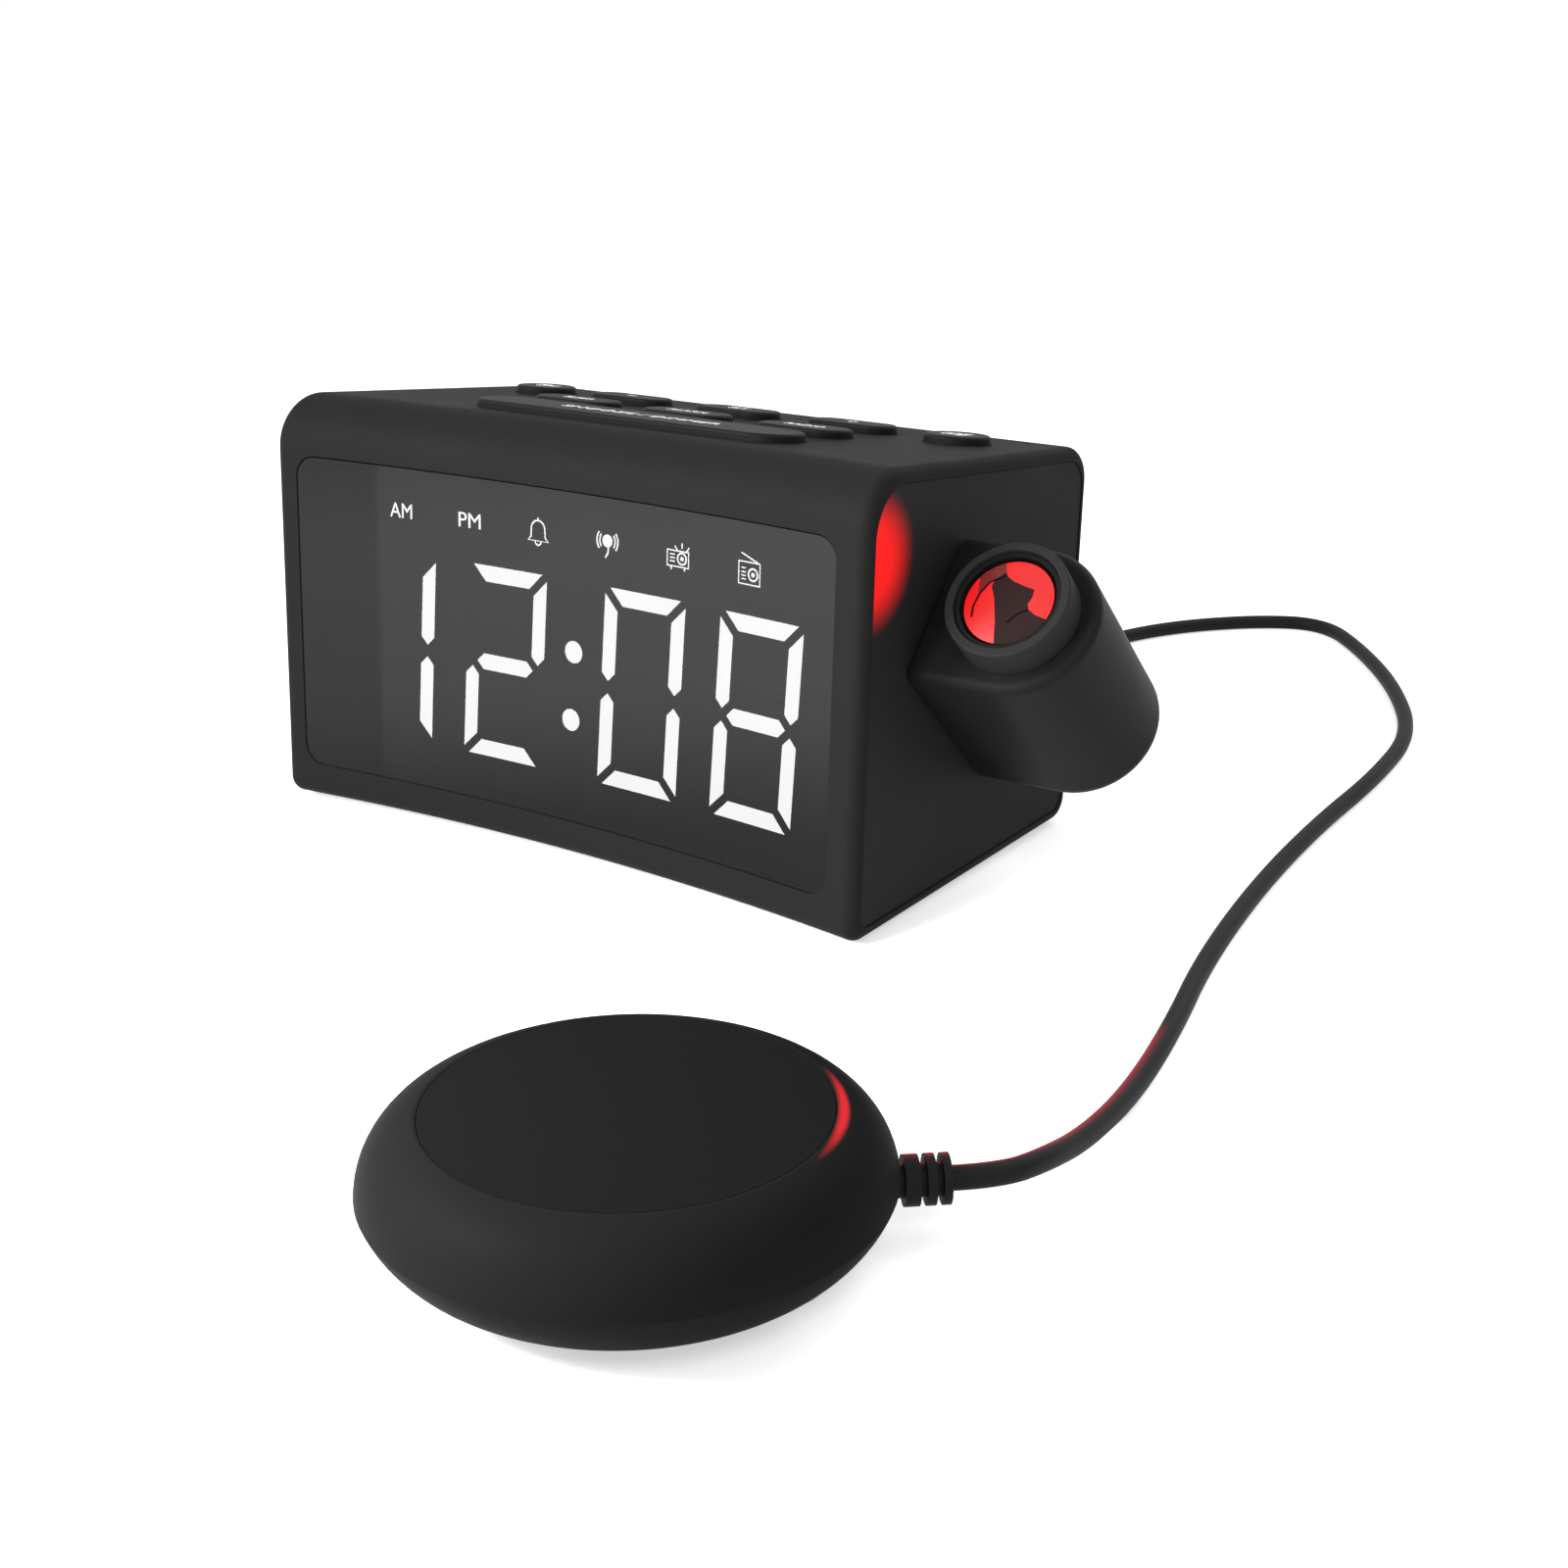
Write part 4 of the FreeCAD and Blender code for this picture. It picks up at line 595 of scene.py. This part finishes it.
# The same PVC beside the shaker, with a painted red highlight on its upper left side
PAINTED_LIGHT_CORD = PaintedEdgeLightPlastic("pvc_cord_painted_red_light", "1A1A1B", 0.55, 0.08, grain_mm=0.35,
                          grain_depth=0.2, centre=(0.1290, -0.0380, 0.0050),
                          reach=(0.030, 0.072, 0.020), red="C42632", power=0.55, core=0.8,
                          facing=(-0.65, 0.36, 0.67), graze=0.5)
# Rubber of the feet and the pad: no shine at all
RUBBER = MouldedPlastic("rubber_foot_black", "0C0C0C", 0.85, 0.2, grain_mm=0.8)
# Glass-fibre board with green varnish
BOARD = MouldedPlastic("epoxy_board_green", "1F5A34", 0.4, 0.5)
# Acetal of the bush, off white
BUSH = MouldedPlastic("acetal_bush_white", "D8D6CE", 0.5, 0.5)
# Smoked acrylic window: a grey veil over the digits, a smooth polished face, painted shade low
# down
WINDOW = SmokedWindow("acrylic_window_smoked", "404040", "303030", 0.12, 0.3, 0.5,
                      low="070707", strip=0.55)
# Clear acrylic lens, with a faint reflection
LENS = ClearAcrylic("acrylic_lens_clear", "FFFFFF", "060606", 0.04, 0.2, 0.85)
# Acrylic in the barrel with the red light in it, and its part in the shade
RED_LIGHT = LitPlastic("acrylic_barrel_red", "EC0C0C", 1.05, 6.0, 0.15, "200302")
DIM_LIGHT = LitPlastic("acrylic_barrel_dim", "701412", 1.0, 3.0, 0.3, "200302")
# ABS works in front of that light, and the dark lines along them
WORKS = MouldedPlastic("abs_works_dark", "2B1E1E", 0.6, 0.03)
GROOVE = MouldedPlastic("abs_groove_black", "0E0909", 0.6, 0.03)
# Acrylic guides of the lit segments: strong, as the smoked window takes most of the light
LIT = LitPlastic("acrylic_segment_white", "FFFFFF", 34.0)
# The same guides where no lamp is on
UNLIT = MouldedPlastic("acrylic_segment_dark", "0A0A0A", 0.8, 0.0)
# White ink on the keys
PRINT = MouldedPlastic("ink_print_white", "F2F2F0", 0.6, 0.3, grain_mm=0.3, grain_depth=0.05)
# Acrylic guides of the small signs, behind the same window
SIGN = LitPlastic("acrylic_sign_white", "FFFFFF", 38.0)
# Red epoxy lamp
LAMP = LitPlastic("epoxy_lamp_red", "FF2A1E", 2.0, body="400806")
# Zinc-plated steel of screws, shafts and tips: pale and bright
STEEL = BareMetal("zinc_plated_steel", "B9BABC", 0.3)
# Brass weight
BRASS = BareMetal("turned_brass", "C8A45C", 0.3)

DRESSED: dict[Finish, tuple[str, ...]] = {
    CASE: ("case_shell", "rear_cover", "cell_cap"),
    PANEL: ("end_panel_left",),
    PAINTED_LIGHT_PANEL: ("end_panel_right",),
    KEY: ("snooze_bar", "sleep_key", "alarm_key", "radio_key", "minus_key", "set_key",
          "plus_key", "shaker_key", "projector_key"),
    ARM: ("arm_housing", "arm_plate"),
    RING: ("focus_ring",),
    SHAKER: ("shaker_cover", "shaker_base"),
    DISC: ("shaker_disc",),
    MASK: ("display_mask", "image_slide"),
    INNER: ("key_switches", "speaker_frame", "board_parts", "dc_jack", "shaker_jack",
            "arm_shaft", "lens_tube", "slide_tube"),
    CORD: ("shaker_cord", "cord_plug"),
    PAINTED_LIGHT_CORD: ("cord_relief",),
    RUBBER: ("rubber_feet", "shaker_pad"),
    BOARD: ("display_board", "key_board", "main_board", "lamp_board"),
    BUSH: ("pivot_bush", "friction_washer"),
    WINDOW: ("display_window",),
    LENS: ("projector_lens", "condenser_lens"),
    LIT: ("lit_segments",),
    UNLIT: ("dark_segments",),
    LAMP: ("projector_lamp",),
    STEEL: ("board_screws", "cover_screws", "arm_screws", "shaker_screws", "speaker_magnet",
            "backup_cell", "cell_contact", "shaft_clip", "motor", "motor_strap", "motor_shaft",
            "plug_tip"),
    BRASS: ("eccentric_weight",),
}
NODE_FINISH = {name: finish for finish, names in DRESSED.items() for name in names}


class Workshop:
    """Shared ways to make, place and hand over pieces."""

    def __init__(self, places: PlaceFinder) -> None:
        """Keeps the place finder and the materials made so far."""
        self.places = places
        self.materials: dict[str, Material] = {}

    def finish(self, finish: Finish) -> Material:
        """The material of a finish, made once."""
        if finish.name not in self.materials:
            self.materials[finish.name] = finish.make()
        return self.materials[finish.name]

    def dress(self, piece: Piece, finish: Finish) -> None:
        """Gives a piece one material all over."""
        piece.data.materials.clear()
        piece.data.materials.append(self.finish(finish))

    def hand_over(self, piece: Piece, finish: Finish, body: Body, slot: str) -> None:
        """Dresses a piece and lets it ride on its body."""
        self.dress(piece, finish)
        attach(piece, body.value)
        log.info("%s rides on %s", piece.name, body.value)

    def pick(self, *pieces: Piece) -> None:
        """Selects these pieces alone and makes the first one active."""
        bpy.ops.object.select_all(action="DESELECT")
        for piece in pieces:
            piece.select_set(True)
        bpy.context.view_layer.objects.active = pieces[0]

    def settle(self, piece: Piece) -> None:
        """Moves a piece's place into its mesh, so that its object is at the origin."""
        self.pick(piece)
        bpy.ops.object.transform_apply(location=True, rotation=True, scale=True)

    def to_mesh(self, piece: Piece, name: str) -> Piece:
        """Turns a text or curve object into a mesh and names it."""
        self.pick(piece)
        bpy.ops.object.convert(target="MESH")
        mesh = bpy.context.view_layer.objects.active
        mesh.name = name
        return mesh

    def words(self, text: str, height: float, width: float = 0.0) -> Piece:
        """Flat lettering in millimetres about the origin.

        Args:
            text: what it says.
            height: height of the capitals.
            width: overall width, or 0 for the letters' own.
        """
        letters = added(bpy.ops.object.text_add)
        letters.data.body = text
        letters.data.size = height / CAPITAL_SHARE
        letters.data.align_x = "CENTER"
        letters.data.align_y = "CENTER"
        letters.data.resolution_u = 6
        letters.data.extrude = MARK_THICKNESS / 2
        mesh = self.to_mesh(letters, "lettering")
        if width:
            mesh.scale.x = width / mesh.dimensions.x
        self.settle(mesh)
        return mesh

    def outlined(self, name: str, points: Sequence[FlatPoint], closed: bool,
                 settings: dict) -> Piece:
        """Makes a mesh from a curve of straight lines, with the curve's settings by name."""
        curve = bpy.data.curves.new(name, "CURVE")
        for setting, value in settings.items():
            setattr(curve, setting, value)
        line = curve.splines.new("POLY")
        line.points.add(len(points) - 1)
        for point, (x, y) in zip(line.points, points):
            point.co = (x, y, 0.0, 1.0)
        line.use_cyclic_u = closed
        return self.to_mesh(put_in_scene(name, curve), name)

    def stroke(self, points: Sequence[FlatPoint], width: float, closed: bool = False) -> Piece:
        """A flattened line of even width through points in millimetres."""
        shape = {"dimensions": "3D", "bevel_depth": width / 2, "bevel_resolution": 1,
                 "use_fill_caps": True}
        mesh = self.outlined("stroke", points, closed, shape)
        mesh.scale.z = MARK_THICKNESS / width
        self.settle(mesh)
        return mesh

    def plate(self, outline: Sequence[FlatPoint]) -> Piece:
        """A flat plate with the given outline in millimetres."""
        shape = {"dimensions": "2D", "fill_mode": "BOTH", "extrude": MARK_THICKNESS / 2}
        return self.outlined("plate", outline, True, shape)

    def disc(self, x: float, y: float, radius: float) -> Piece:
        """A flat round dot in millimetres."""
        dot = added(bpy.ops.mesh.primitive_cylinder_add, vertices=32, radius=radius,
                    depth=MARK_THICKNESS, location=(x, y, 0))
        self.settle(dot)
        return dot

    def refine(self, piece: Piece, cuts: int) -> None:
        """Divides a flat piece so that it can follow a curved surface."""
        self.pick(piece)
        bpy.ops.object.mode_set(mode="EDIT")
        bpy.ops.mesh.select_all(action="SELECT")
        bpy.ops.mesh.quads_convert_to_tris()
        bpy.ops.mesh.subdivide(number_cuts=cuts)
        bpy.ops.object.mode_set(mode="OBJECT")

    def joined(self, parts: Sequence[Piece], name: str) -> Piece:
        """Joins flat parts into one piece."""
        self.pick(*parts)
        bpy.ops.object.join()
        whole = bpy.context.view_layer.objects.active
        whole.name = name
        return whole

    def lay_on(self, piece: Piece, place: Callable[[float, float, float], Vector],
               name: str) -> Piece:
        """Lays a flat piece drawn in millimetres on a surface.

        Args:
            piece: a mesh whose x and y are millimetres on the surface and z above it.
            place: gives the point for x, y and z.
            name: the piece's name.

        Returns:
            The piece, at the origin with its place in its mesh.
        """
        for vertex in piece.data.vertices:
            vertex.co = place(*vertex.co)
        piece.name = name
        piece.data.update()
        return piece


@dataclass
class Work:
    """Something that is made in the shared workshop. Its sizes are in millimetres."""

    shop: Workshop


def arc(x: float, y: float, radius: float, start: float, end: float,
        steps: int = 12) -> list[FlatPoint]:
    """Points round x, y from one angle to another, in degrees."""
    points = []
    for step in range(steps + 1):
        angle = math.radians(start + (end - start) * step / steps)
        points.append((x + radius * math.cos(angle), y + radius * math.sin(angle)))
    return points


@dataclass
class Signs(Work):
    """Simple pictograms, drawn in millimetres about the origin, 6 to 7 mm across.

    Args:
        line: width of their lines.
        fine: share of it for the short lines inside.
        slim: share of it for rays and the aerial.
        broad: share of it for the shaker's tail.
    """

    line: float = 0.42
    fine: float = 0.7
    slim: float = 0.8
    broad: float = 1.1

    def bell(self) -> Piece:
        """Bell outline with a knob and a clapper."""
        side = [(-3.1, -2.1), (-2.2, -1.2), (-2.1, 0.6)]
        dome = arc(0, 0.7, 2.1, 180, 0)
        other = [(2.1, 0.6), (2.2, -1.2), (3.1, -2.1)]
        parts = [self.shop.stroke(side + dome + other, self.line, True),
                 self.shop.stroke([(0, 2.8), (0, 3.5)], self.line),
                 self.shop.stroke(arc(0, -2.2, 0.9, 180, 360, 8), self.line)]
        return self.shop.joined(parts, "bell")

    def shaking(self) -> Piece:
        """Disc that shakes: arcs at both sides and a tail."""
        parts = [self.shop.disc(0, 0.7, 1.5)]
        for radius in (2.35, 3.2):
            for start, end in ((-38, 38), (142, 218)):
                parts.append(self.shop.stroke(arc(0, 0.7, radius, start, end, 8), self.line))
        tail = [(0.3, -0.8), (0.2, -2.0), (-0.6, -3.3)]
        parts.append(self.shop.stroke(tail, self.line * self.broad))
        return self.shop.joined(parts, "shaking")

    def case(self, half: float, low: float, high: float) -> Piece:
        """Outline of a box."""
        corners = [(-half, low), (half, low), (half, high), (-half, high)]
        return self.shop.stroke(corners, self.line, True)

    def eye(self, x: float, y: float, radius: float) -> list[Piece]:
        """Ring with a dot in its middle."""
        return [self.shop.stroke(arc(x, y, radius, 0, 360, 16), self.line, True),
                self.shop.disc(x, y, 0.5)]

    def bars(self, left: float, right: float, heights: Sequence[float]) -> list[Piece]:
        """Short level lines."""
        return [self.shop.stroke([(left, y), (right, y)], self.line * self.fine)
                for y in heights]

    def projector(self) -> Piece:
        """Box with a round lens and rays of light."""
        parts = [self.case(3.2, -2.3, 1.3), *self.eye(1.2, -0.4, 1.3),
                 *self.bars(-2.4, -0.9, (-1.2, -0.4, 0.4))]
        for angle in (50, 90, 130):
            turn = math.radians(angle)
            ray = [(1.2 + reach * math.cos(turn), -0.2 + reach * math.sin(turn))
                   for reach in (2.1, 3.4)]
            parts.append(self.shop.stroke(ray, self.line * self.slim))
        for x in (-2.0, 2.0):
            parts.append(self.shop.stroke([(x, -2.4), (x, -3.1)], self.line))
        return self.shop.joined(parts, "projector")

    def radio(self) -> Piece:
        """Radio set with a slanted aerial."""
        parts = [self.case(3.1, -3.2, 1.8),
                 self.shop.stroke([(2.6, 1.9), (-2.4, 3.7)], self.line * self.slim),
                 *self.eye(1.1, -0.9, 1.35),
                 *self.bars(-2.3, -1.0, (-2.1, -1.3, -0.5, 0.4))]
        return self.shop.joined(parts, "radio")

    def cross(self, with_upright: bool) -> Piece:
        """Plus sign, or a minus sign without its upright."""
        width = 0.6
        parts = [self.shop.stroke([(-1.5, 0), (1.5, 0)], width)]
        if with_upright:
            parts.append(self.shop.stroke([(0, -1.5), (0, 1.5)], width))
        return self.shop.joined(parts, "cross")


@dataclass
class Display(Work):
    """The smoked window pane and the row of small lit signs behind it.

    Args:
        depth: how far the signs lie behind the front.
        row: their height along it.
    """

    depth: float = 2.22
    recess: float = 0.3
    pane_thickness: float = 1.8
    ledge_clearance: float = 0.12
    corner: float = 5.35
    corner_step: int = 9
    strips: int = 48
    row: float = 78.4
    letters: float = 3.7
    letters_width: float = 6.9
    places: Sequence[float] = (-52.0, -30.6, -9.2, 12.2, 33.6, 54.8)

    def pane(self) -> None:
        """Builds the smoked pane as even upright strips, its rear face clear of the ledge."""
        places = self.shop.places
        low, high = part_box("display_window")
        start = (low - places.origin) / MM
        size = (high - low) / MM
        columns = self.columns(size.x)
        pane = added(bpy.ops.mesh.primitive_grid_add, x_subdivisions=len(columns) - 1,
                     y_subdivisions=1, size=1)
        for vertex in pane.data.vertices:
            across, inset = columns[round((vertex.co.x + 0.5) * (len(columns) - 1))]
            up = inset if vertex.co.y < 0 else size.z - inset
            vertex.co = places.front(start.x + across, start.z + up - places.foot, self.recess)
        body = pane.modifiers.new("body", "SOLIDIFY")
        body.thickness = (self.pane_thickness - self.ledge_clearance) * MM
        body.offset = -1.0
        bpy.ops.object.modifier_apply(modifier="body")
        bpy.ops.object.shade_smooth_by_angle(angle=SMOOTH_ANGLE)
        self.shop.hand_over(pane, WINDOW, Body.CLOCK, "window_smoked")
        pane.name = "window_pane"
        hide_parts("display_window")

    def columns(self, width: float) -> list[FlatPoint]:
        """Places across the pane and how far the round corners take its edge in there."""
        turn = [(self.corner * (1 - math.cos(math.radians(angle))),
                 self.corner * (1 - math.sin(math.radians(angle))))
                for angle in range(0, 91, self.corner_step)]
        straight = width - 2 * self.corner
        middle = [(self.corner + straight * step / self.strips, 0.0)
                  for step in range(1, self.strips)]
        return turn + middle + [(width - across, inset) for across, inset in reversed(turn)]

    def build(self) -> None:
        """Builds the pane and the signs."""
        self.pane()
        signs = Signs(self.shop)
        drawn = {"sign_am": self.shop.words("AM", self.letters, self.letters_width),
                 "sign_pm": self.shop.words("PM", self.letters, self.letters_width),
                 "sign_bell": signs.bell(), "sign_shaker": signs.shaking(),
                 "sign_projector": signs.projector(), "sign_radio": signs.radio()}
        for (name, flat), middle in zip(drawn.items(), self.places):
            self.sign(flat, name, middle)

    def sign(self, piece: Piece, name: str, middle: float) -> None:
        """Lays a flat sign in front of the mask."""

        def place(x: float, y: float, z: float) -> Vector:
            """A point of the sign, z towards the window."""
            return self.shop.places.front(middle + x, self.row + y, self.depth - z)

        laid = self.shop.lay_on(piece, place, name)
        self.shop.hand_over(laid, SIGN, Body.CLOCK, "segment_white")


@dataclass
class KeyLabels(Work):
    """White printing on the keys.

    Args:
        rise: how far the keys stand out of the top, on which the rows are measured back.
    """

    rise: float = 2.0
    print_height: float = MARK_THICKNESS / 2
    line: float = 0.55
    letters: float = 2.6
    front_row: float = 54.2
    rear_row: float = 75.3

    def build(self) -> None:
        """Prints every key."""
        signs = Signs(self.shop, self.line)
        words = self.shop.words
        self.label(words("SNOOZE / DIMMER", 3.0, 48.0), Body.SNOOZE, 1.5, 33.7)
        for text, body, x in (("SLEEP", Body.SLEEP, -35.4), ("ALARM", Body.ALARM, 0.0),
                              ("RADIO", Body.RADIO, 35.4)):
            self.label(words(text, self.letters), body, x, self.front_row)
        for mark, body, x in ((signs.cross(False), Body.MINUS, -35.0),
                              (words("SET", self.letters), Body.SET, 0.0),
                              (signs.cross(True), Body.PLUS, 35.0),
                              (signs.shaking(), Body.SHAKER_KEY, -65.0),
                              (signs.projector(), Body.PROJECTOR_KEY, 65.0)):
            self.label(mark, body, x, self.rear_row)

    def label(self, piece: Piece, body: Body, x: float, y: float) -> None:
        """Prints a flat mark on a key, its middle at x across the top and y back along it."""

        def place(across: float, back: float, up: float) -> Vector:
            """A point of the mark on the key's top."""
            height = self.rise + self.print_height + up
            return self.shop.places.top(x + across, y + back, height)

        printed = self.shop.lay_on(piece, place, "label_" + body.value)
        self.shop.hand_over(printed, PRINT, body, "segment_white")


@dataclass
class Barrel(Work):
    """What shows at the projector's lens: red light, its shaded side and dark works.

    They are thin layers, domed as the lens is, in front of it in the mouth of its tube.

    Args:
        axis: distance of the lens's axis from the side of the case.
        face: height of the arm's face along that axis.
        dome: height of the dome's edge over the face; its middle is a crown higher.
        under: how far the light lies under the dome.
        groove: line at the left of the works.
        edge: line at their lower right.
        lifts: height of the shade, the works and the lines over the light.
    """

    axis: float = 20.7
    face: float = 31.0
    dome: float = 6.5
    crown: float = 0.9
    dome_radius: float = 10.8
    under: float = 0.22
    radius: float = 10.1
    sides: int = 48
    cuts: int = 5
    works: Sequence[FlatPoint] = (
        (-3.1, 6.9), (-2.2, 5.8), (-0.4, 4.8), (2.6, 4.0), (4.9, 3.6), (5.1, 1.7), (4.7, 0.0),
        (5.4, -1.3), (7.2, -2.2), (9.95, -2.67), (9.18, -4.68), (8.0, -6.48), (6.48, -8.0),
        (4.68, -9.18), (2.67, -9.95), (0.36, -10.29), (-1.1, -5.1), (-3.2, 0.0), (-5.0, 2.9),
        (-4.9, 4.1),
    )
    shade: Sequence[FlatPoint] = (
        (-7.5, 0.6), (-5.8, 3.9), (-2.6, 5.8), (-4.02, 9.21), (-5.33, 8.52), (-7.06, 7.16),
        (-8.74, 4.96),
    )
    groove: Sequence[FlatPoint] = (
        (-7.0, -4.9), (-7.5, -2.3), (-7.2, 0.6), (-5.8, 3.9), (-2.7, 6.0),
    )
    edge: Sequence[FlatPoint] = ((1.7, -5.1), (3.2, -2.9), (5.2, -1.4))
    groove_width: float = 0.5
    edge_width: float = 0.45
    lifts: Point = (0.04, 0.08, 0.14)

    def build(self) -> None:
        """Builds the layers from the bottom up."""
        shade_lift, works_lift, lines_lift = self.lifts
        light = self.shop.plate(arc(0, 0, self.radius, 0, 360 - 360 / self.sides, self.sides - 1))
        self.sink(light, "barrel_light", 0.0, RED_LIGHT, "lamp_red")
        self.sink(self.shop.plate(self.shade), "barrel_shade", shade_lift, DIM_LIGHT, "lamp_red")
        self.sink(self.shop.plate(self.works), "barrel_works", works_lift, WORKS, "part_black")
        lines = self.shop.joined([self.shop.stroke(self.groove, self.groove_width),
                                  self.shop.stroke(self.edge, self.edge_width)], "lines")
        self.sink(lines, "barrel_lines", lines_lift, GROOVE, "part_black")

    def sink(self, piece: Piece, name: str, lift: float, finish: Finish, slot: str) -> None:
        """Lays a flat piece across the barrel, lift above the light."""
        self.shop.refine(piece, self.cuts)

        def place(out: float, along: float, up: float) -> Vector:
            """A point of the layer."""
            share = min(1.0, (out ** 2 + along ** 2) / self.dome_radius ** 2)
            rise = self.dome + self.crown * (1 - share) - self.under
            return self.shop.places.arm(self.axis + out, along, self.face + rise + lift + up)

        self.shop.hand_over(self.shop.lay_on(piece, place, name), finish, Body.LENS, slot)


@dataclass
class Cord(Work):
    """The shaker's cord: soft round PVC on one smooth line along the table.

    The points lead from the shaker's relief to the plug behind the clock.
    """

    radius: float = 2.2
    length: float = 644.6
    points: Sequence[Point] = (
        (166.778, -85.184, 9.0), (173.318, -79.296, 9.0), (176.0, -69.3, 8.2),
        (175.0, -52.0, 4.6), (171.6, -27.0, 2.2), (165.3, 3.0, 2.2),
        (156.0, 37.0, 2.2), (147.6, 83.0, 2.2), (142.4, 130.0, 2.2),
        (140.3, 176.0, 2.2), (134.2, 219.0, 2.2), (113.5, 261.0, 2.2),
        (89.0, 296.0, 2.2), (66.5, 320.5, 2.2), (45.0, 310.5, 2.2),
        (23.5, 283.0, 2.2), (13.5, 246.0, 2.2), (15.0, 209.0, 2.2),
        (21.8, 181.0, 2.2), (24.0, 160.0, 7.6), (24.0, 143.934, 15.7),
        (24.0, 130.934, 15.7),
    )

    def build(self) -> None:
        curve = bpy.data.curves.new("shaker_cord_line", "CURVE")
        curve.dimensions = "3D"
        curve.bevel_depth = self.radius * MM
        curve.bevel_resolution = 6
        curve.resolution_u = 10
        curve.use_fill_caps = True
        spline = curve.splines.new("NURBS")
        spline.points.add(len(self.points) - 1)
        for point, place in zip(spline.points, self.points):
            point.co = (*self.shop.places.at(*place), 1.0)
        spline.order_u = 3
        spline.use_endpoint_u = True
        cord = put_in_scene("shaker_cord_line", curve)
        self.shop.hand_over(cord, PAINTED_LIGHT_CORD, Body.CLOCK, "cord_black")
        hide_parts("shaker_cord")
        self.shop.places.at(*self.points[0])


@dataclass
class Studio(Work):
    """Pale floor, plain soft light and the camera at the photograph's place.

    The camera's angles are in radians, the floor's size in metres.

    Args:
        light: strength of the plain surroundings.
        shine: what the floor gives out itself.
    """

    camera_place: Point = (332.7, -364.1, 190.4)
    camera_yaw: float = 0.622
    camera_pitch: float = 0.332
    lens_mm: float = 49.93
    sensor_mm: float = 36.0
    light: float = 0.62
    shine: float = 0.52
    floor_size: float = 6.0
    floor_place: Point = (0, 60, -0.02)

    def camera(self) -> None:
        """Sets the camera."""
        data = bpy.data.cameras.new("camera")
        data.lens = self.lens_mm
        data.sensor_width = self.sensor_mm
        camera = put_in_scene("camera", data)
        camera.location = self.shop.places.at(*self.camera_place)
        camera.rotation_euler = (math.pi / 2 - self.camera_pitch, 0, self.camera_yaw)
        bpy.context.scene.camera = camera

    def world(self) -> None:
        """White surroundings for the camera and reflections, plain light for the rest."""
        world = bpy.data.worlds.new("studio")
        bpy.context.scene.world = world
        tree = emptied(world)
        light = add_node(tree, "Background", {"Color": linear("F4F5F6"), "Strength": self.light})
        white = add_node(tree, "Background", {"Color": WHITE, "Strength": 1.0})
        mixed = add_node(tree, "MixShader", {}, {0: seen_directly(tree), 1: light, 2: white})
        add_node(tree, "OutputWorld", {}, {0: mixed})

    def floor(self) -> None:
        """A wide pale floor that shows white and keeps the object's shadow."""
        floor = added(bpy.ops.mesh.primitive_plane_add, size=self.floor_size,
                      location=self.shop.places.at(*self.floor_place))
        floor.name = "floor"
        self.shop.settle(floor)
        material = bpy.data.materials.new("painted_floor_pale")
        tree = emptied(material)
        paint = add_node(tree, "BsdfDiffuse", {"Color": linear("F2F2F2")})
        glow = add_node(tree, "Emission", {"Color": WHITE, "Strength": self.shine})
        bright = add_node(tree, "AddShader", {}, {0: paint, 1: glow})
        mixed = add_node(tree, "MixShader", {}, {0: seen_directly(tree), 1: paint, 2: bright})
        add_node(tree, "OutputMaterial", {}, {0: mixed})
        floor.data.materials.append(material)

    def lamp(self, name: str, place: Point, target: Point, size: float, power: float) -> None:
        """Adds a soft square lamp with white light.

        Args:
            name: the lamp's name.
            place: where it hangs, in the clock's frame.
            target: what it points at.
            size: side of the square in millimetres.
            power: watts.
        """
        data = bpy.data.lights.new(name, "AREA")
        data.size = size * MM
        data.energy = power
        lamp = put_in_scene(name, data)
        start = self.shop.places.at(*place)
        aim = self.shop.places.at(*target) - start
        lamp.location = start
        lamp.rotation_euler = aim.to_track_quat("-Z", "Y").to_euler()

    def build(self) -> None:
        """Sets up the whole studio."""
        bpy.context.scene.view_settings.view_transform = "Standard"
        self.camera()
        self.world()
        self.floor()
        self.lamp("key_light", (-420, -560, 460), (20, 0, 50), 420, 8.5)
        self.lamp("back_light", (200, 620, 700), (20, 40, 60), 600, 2.5)
        self.lamp("side_light", (440, -320, 420), (115, 30, 50), 200, 0.75)
        self.lamp("shaker_light", (45, -258, 135), (118, -130, 18), 60, 0.7)


def dress_nodes(frame: dict, workshop: Workshop) -> None:
    for name, node in frame["nodes"].items():
        workshop.dress(node, NODE_FINISH[name])
        log.info("%s dressed as %s", name, NODE_FINISH[name].name)


def find_places() -> PlaceFinder:
    """Finds the clock's origin from its feet, which stand evenly to its left and right."""
    low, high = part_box("rubber_feet")
    middle = (low + high) / 2
    return PlaceFinder(Vector((middle.x, middle.y - FEET_MIDDLE * MM, 0.0)))


def main() -> None:
    """Builds and dresses everything in order."""
    logging.basicConfig(level=logging.INFO, format="%(name)s: %(message)s")
    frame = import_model()
    workshop = Workshop(find_places())
    dress_nodes(frame, workshop)
    for work in (Cord, Display, KeyLabels, Barrel, Studio):
        work(workshop).build()


if __name__ == "__main__":
    main()
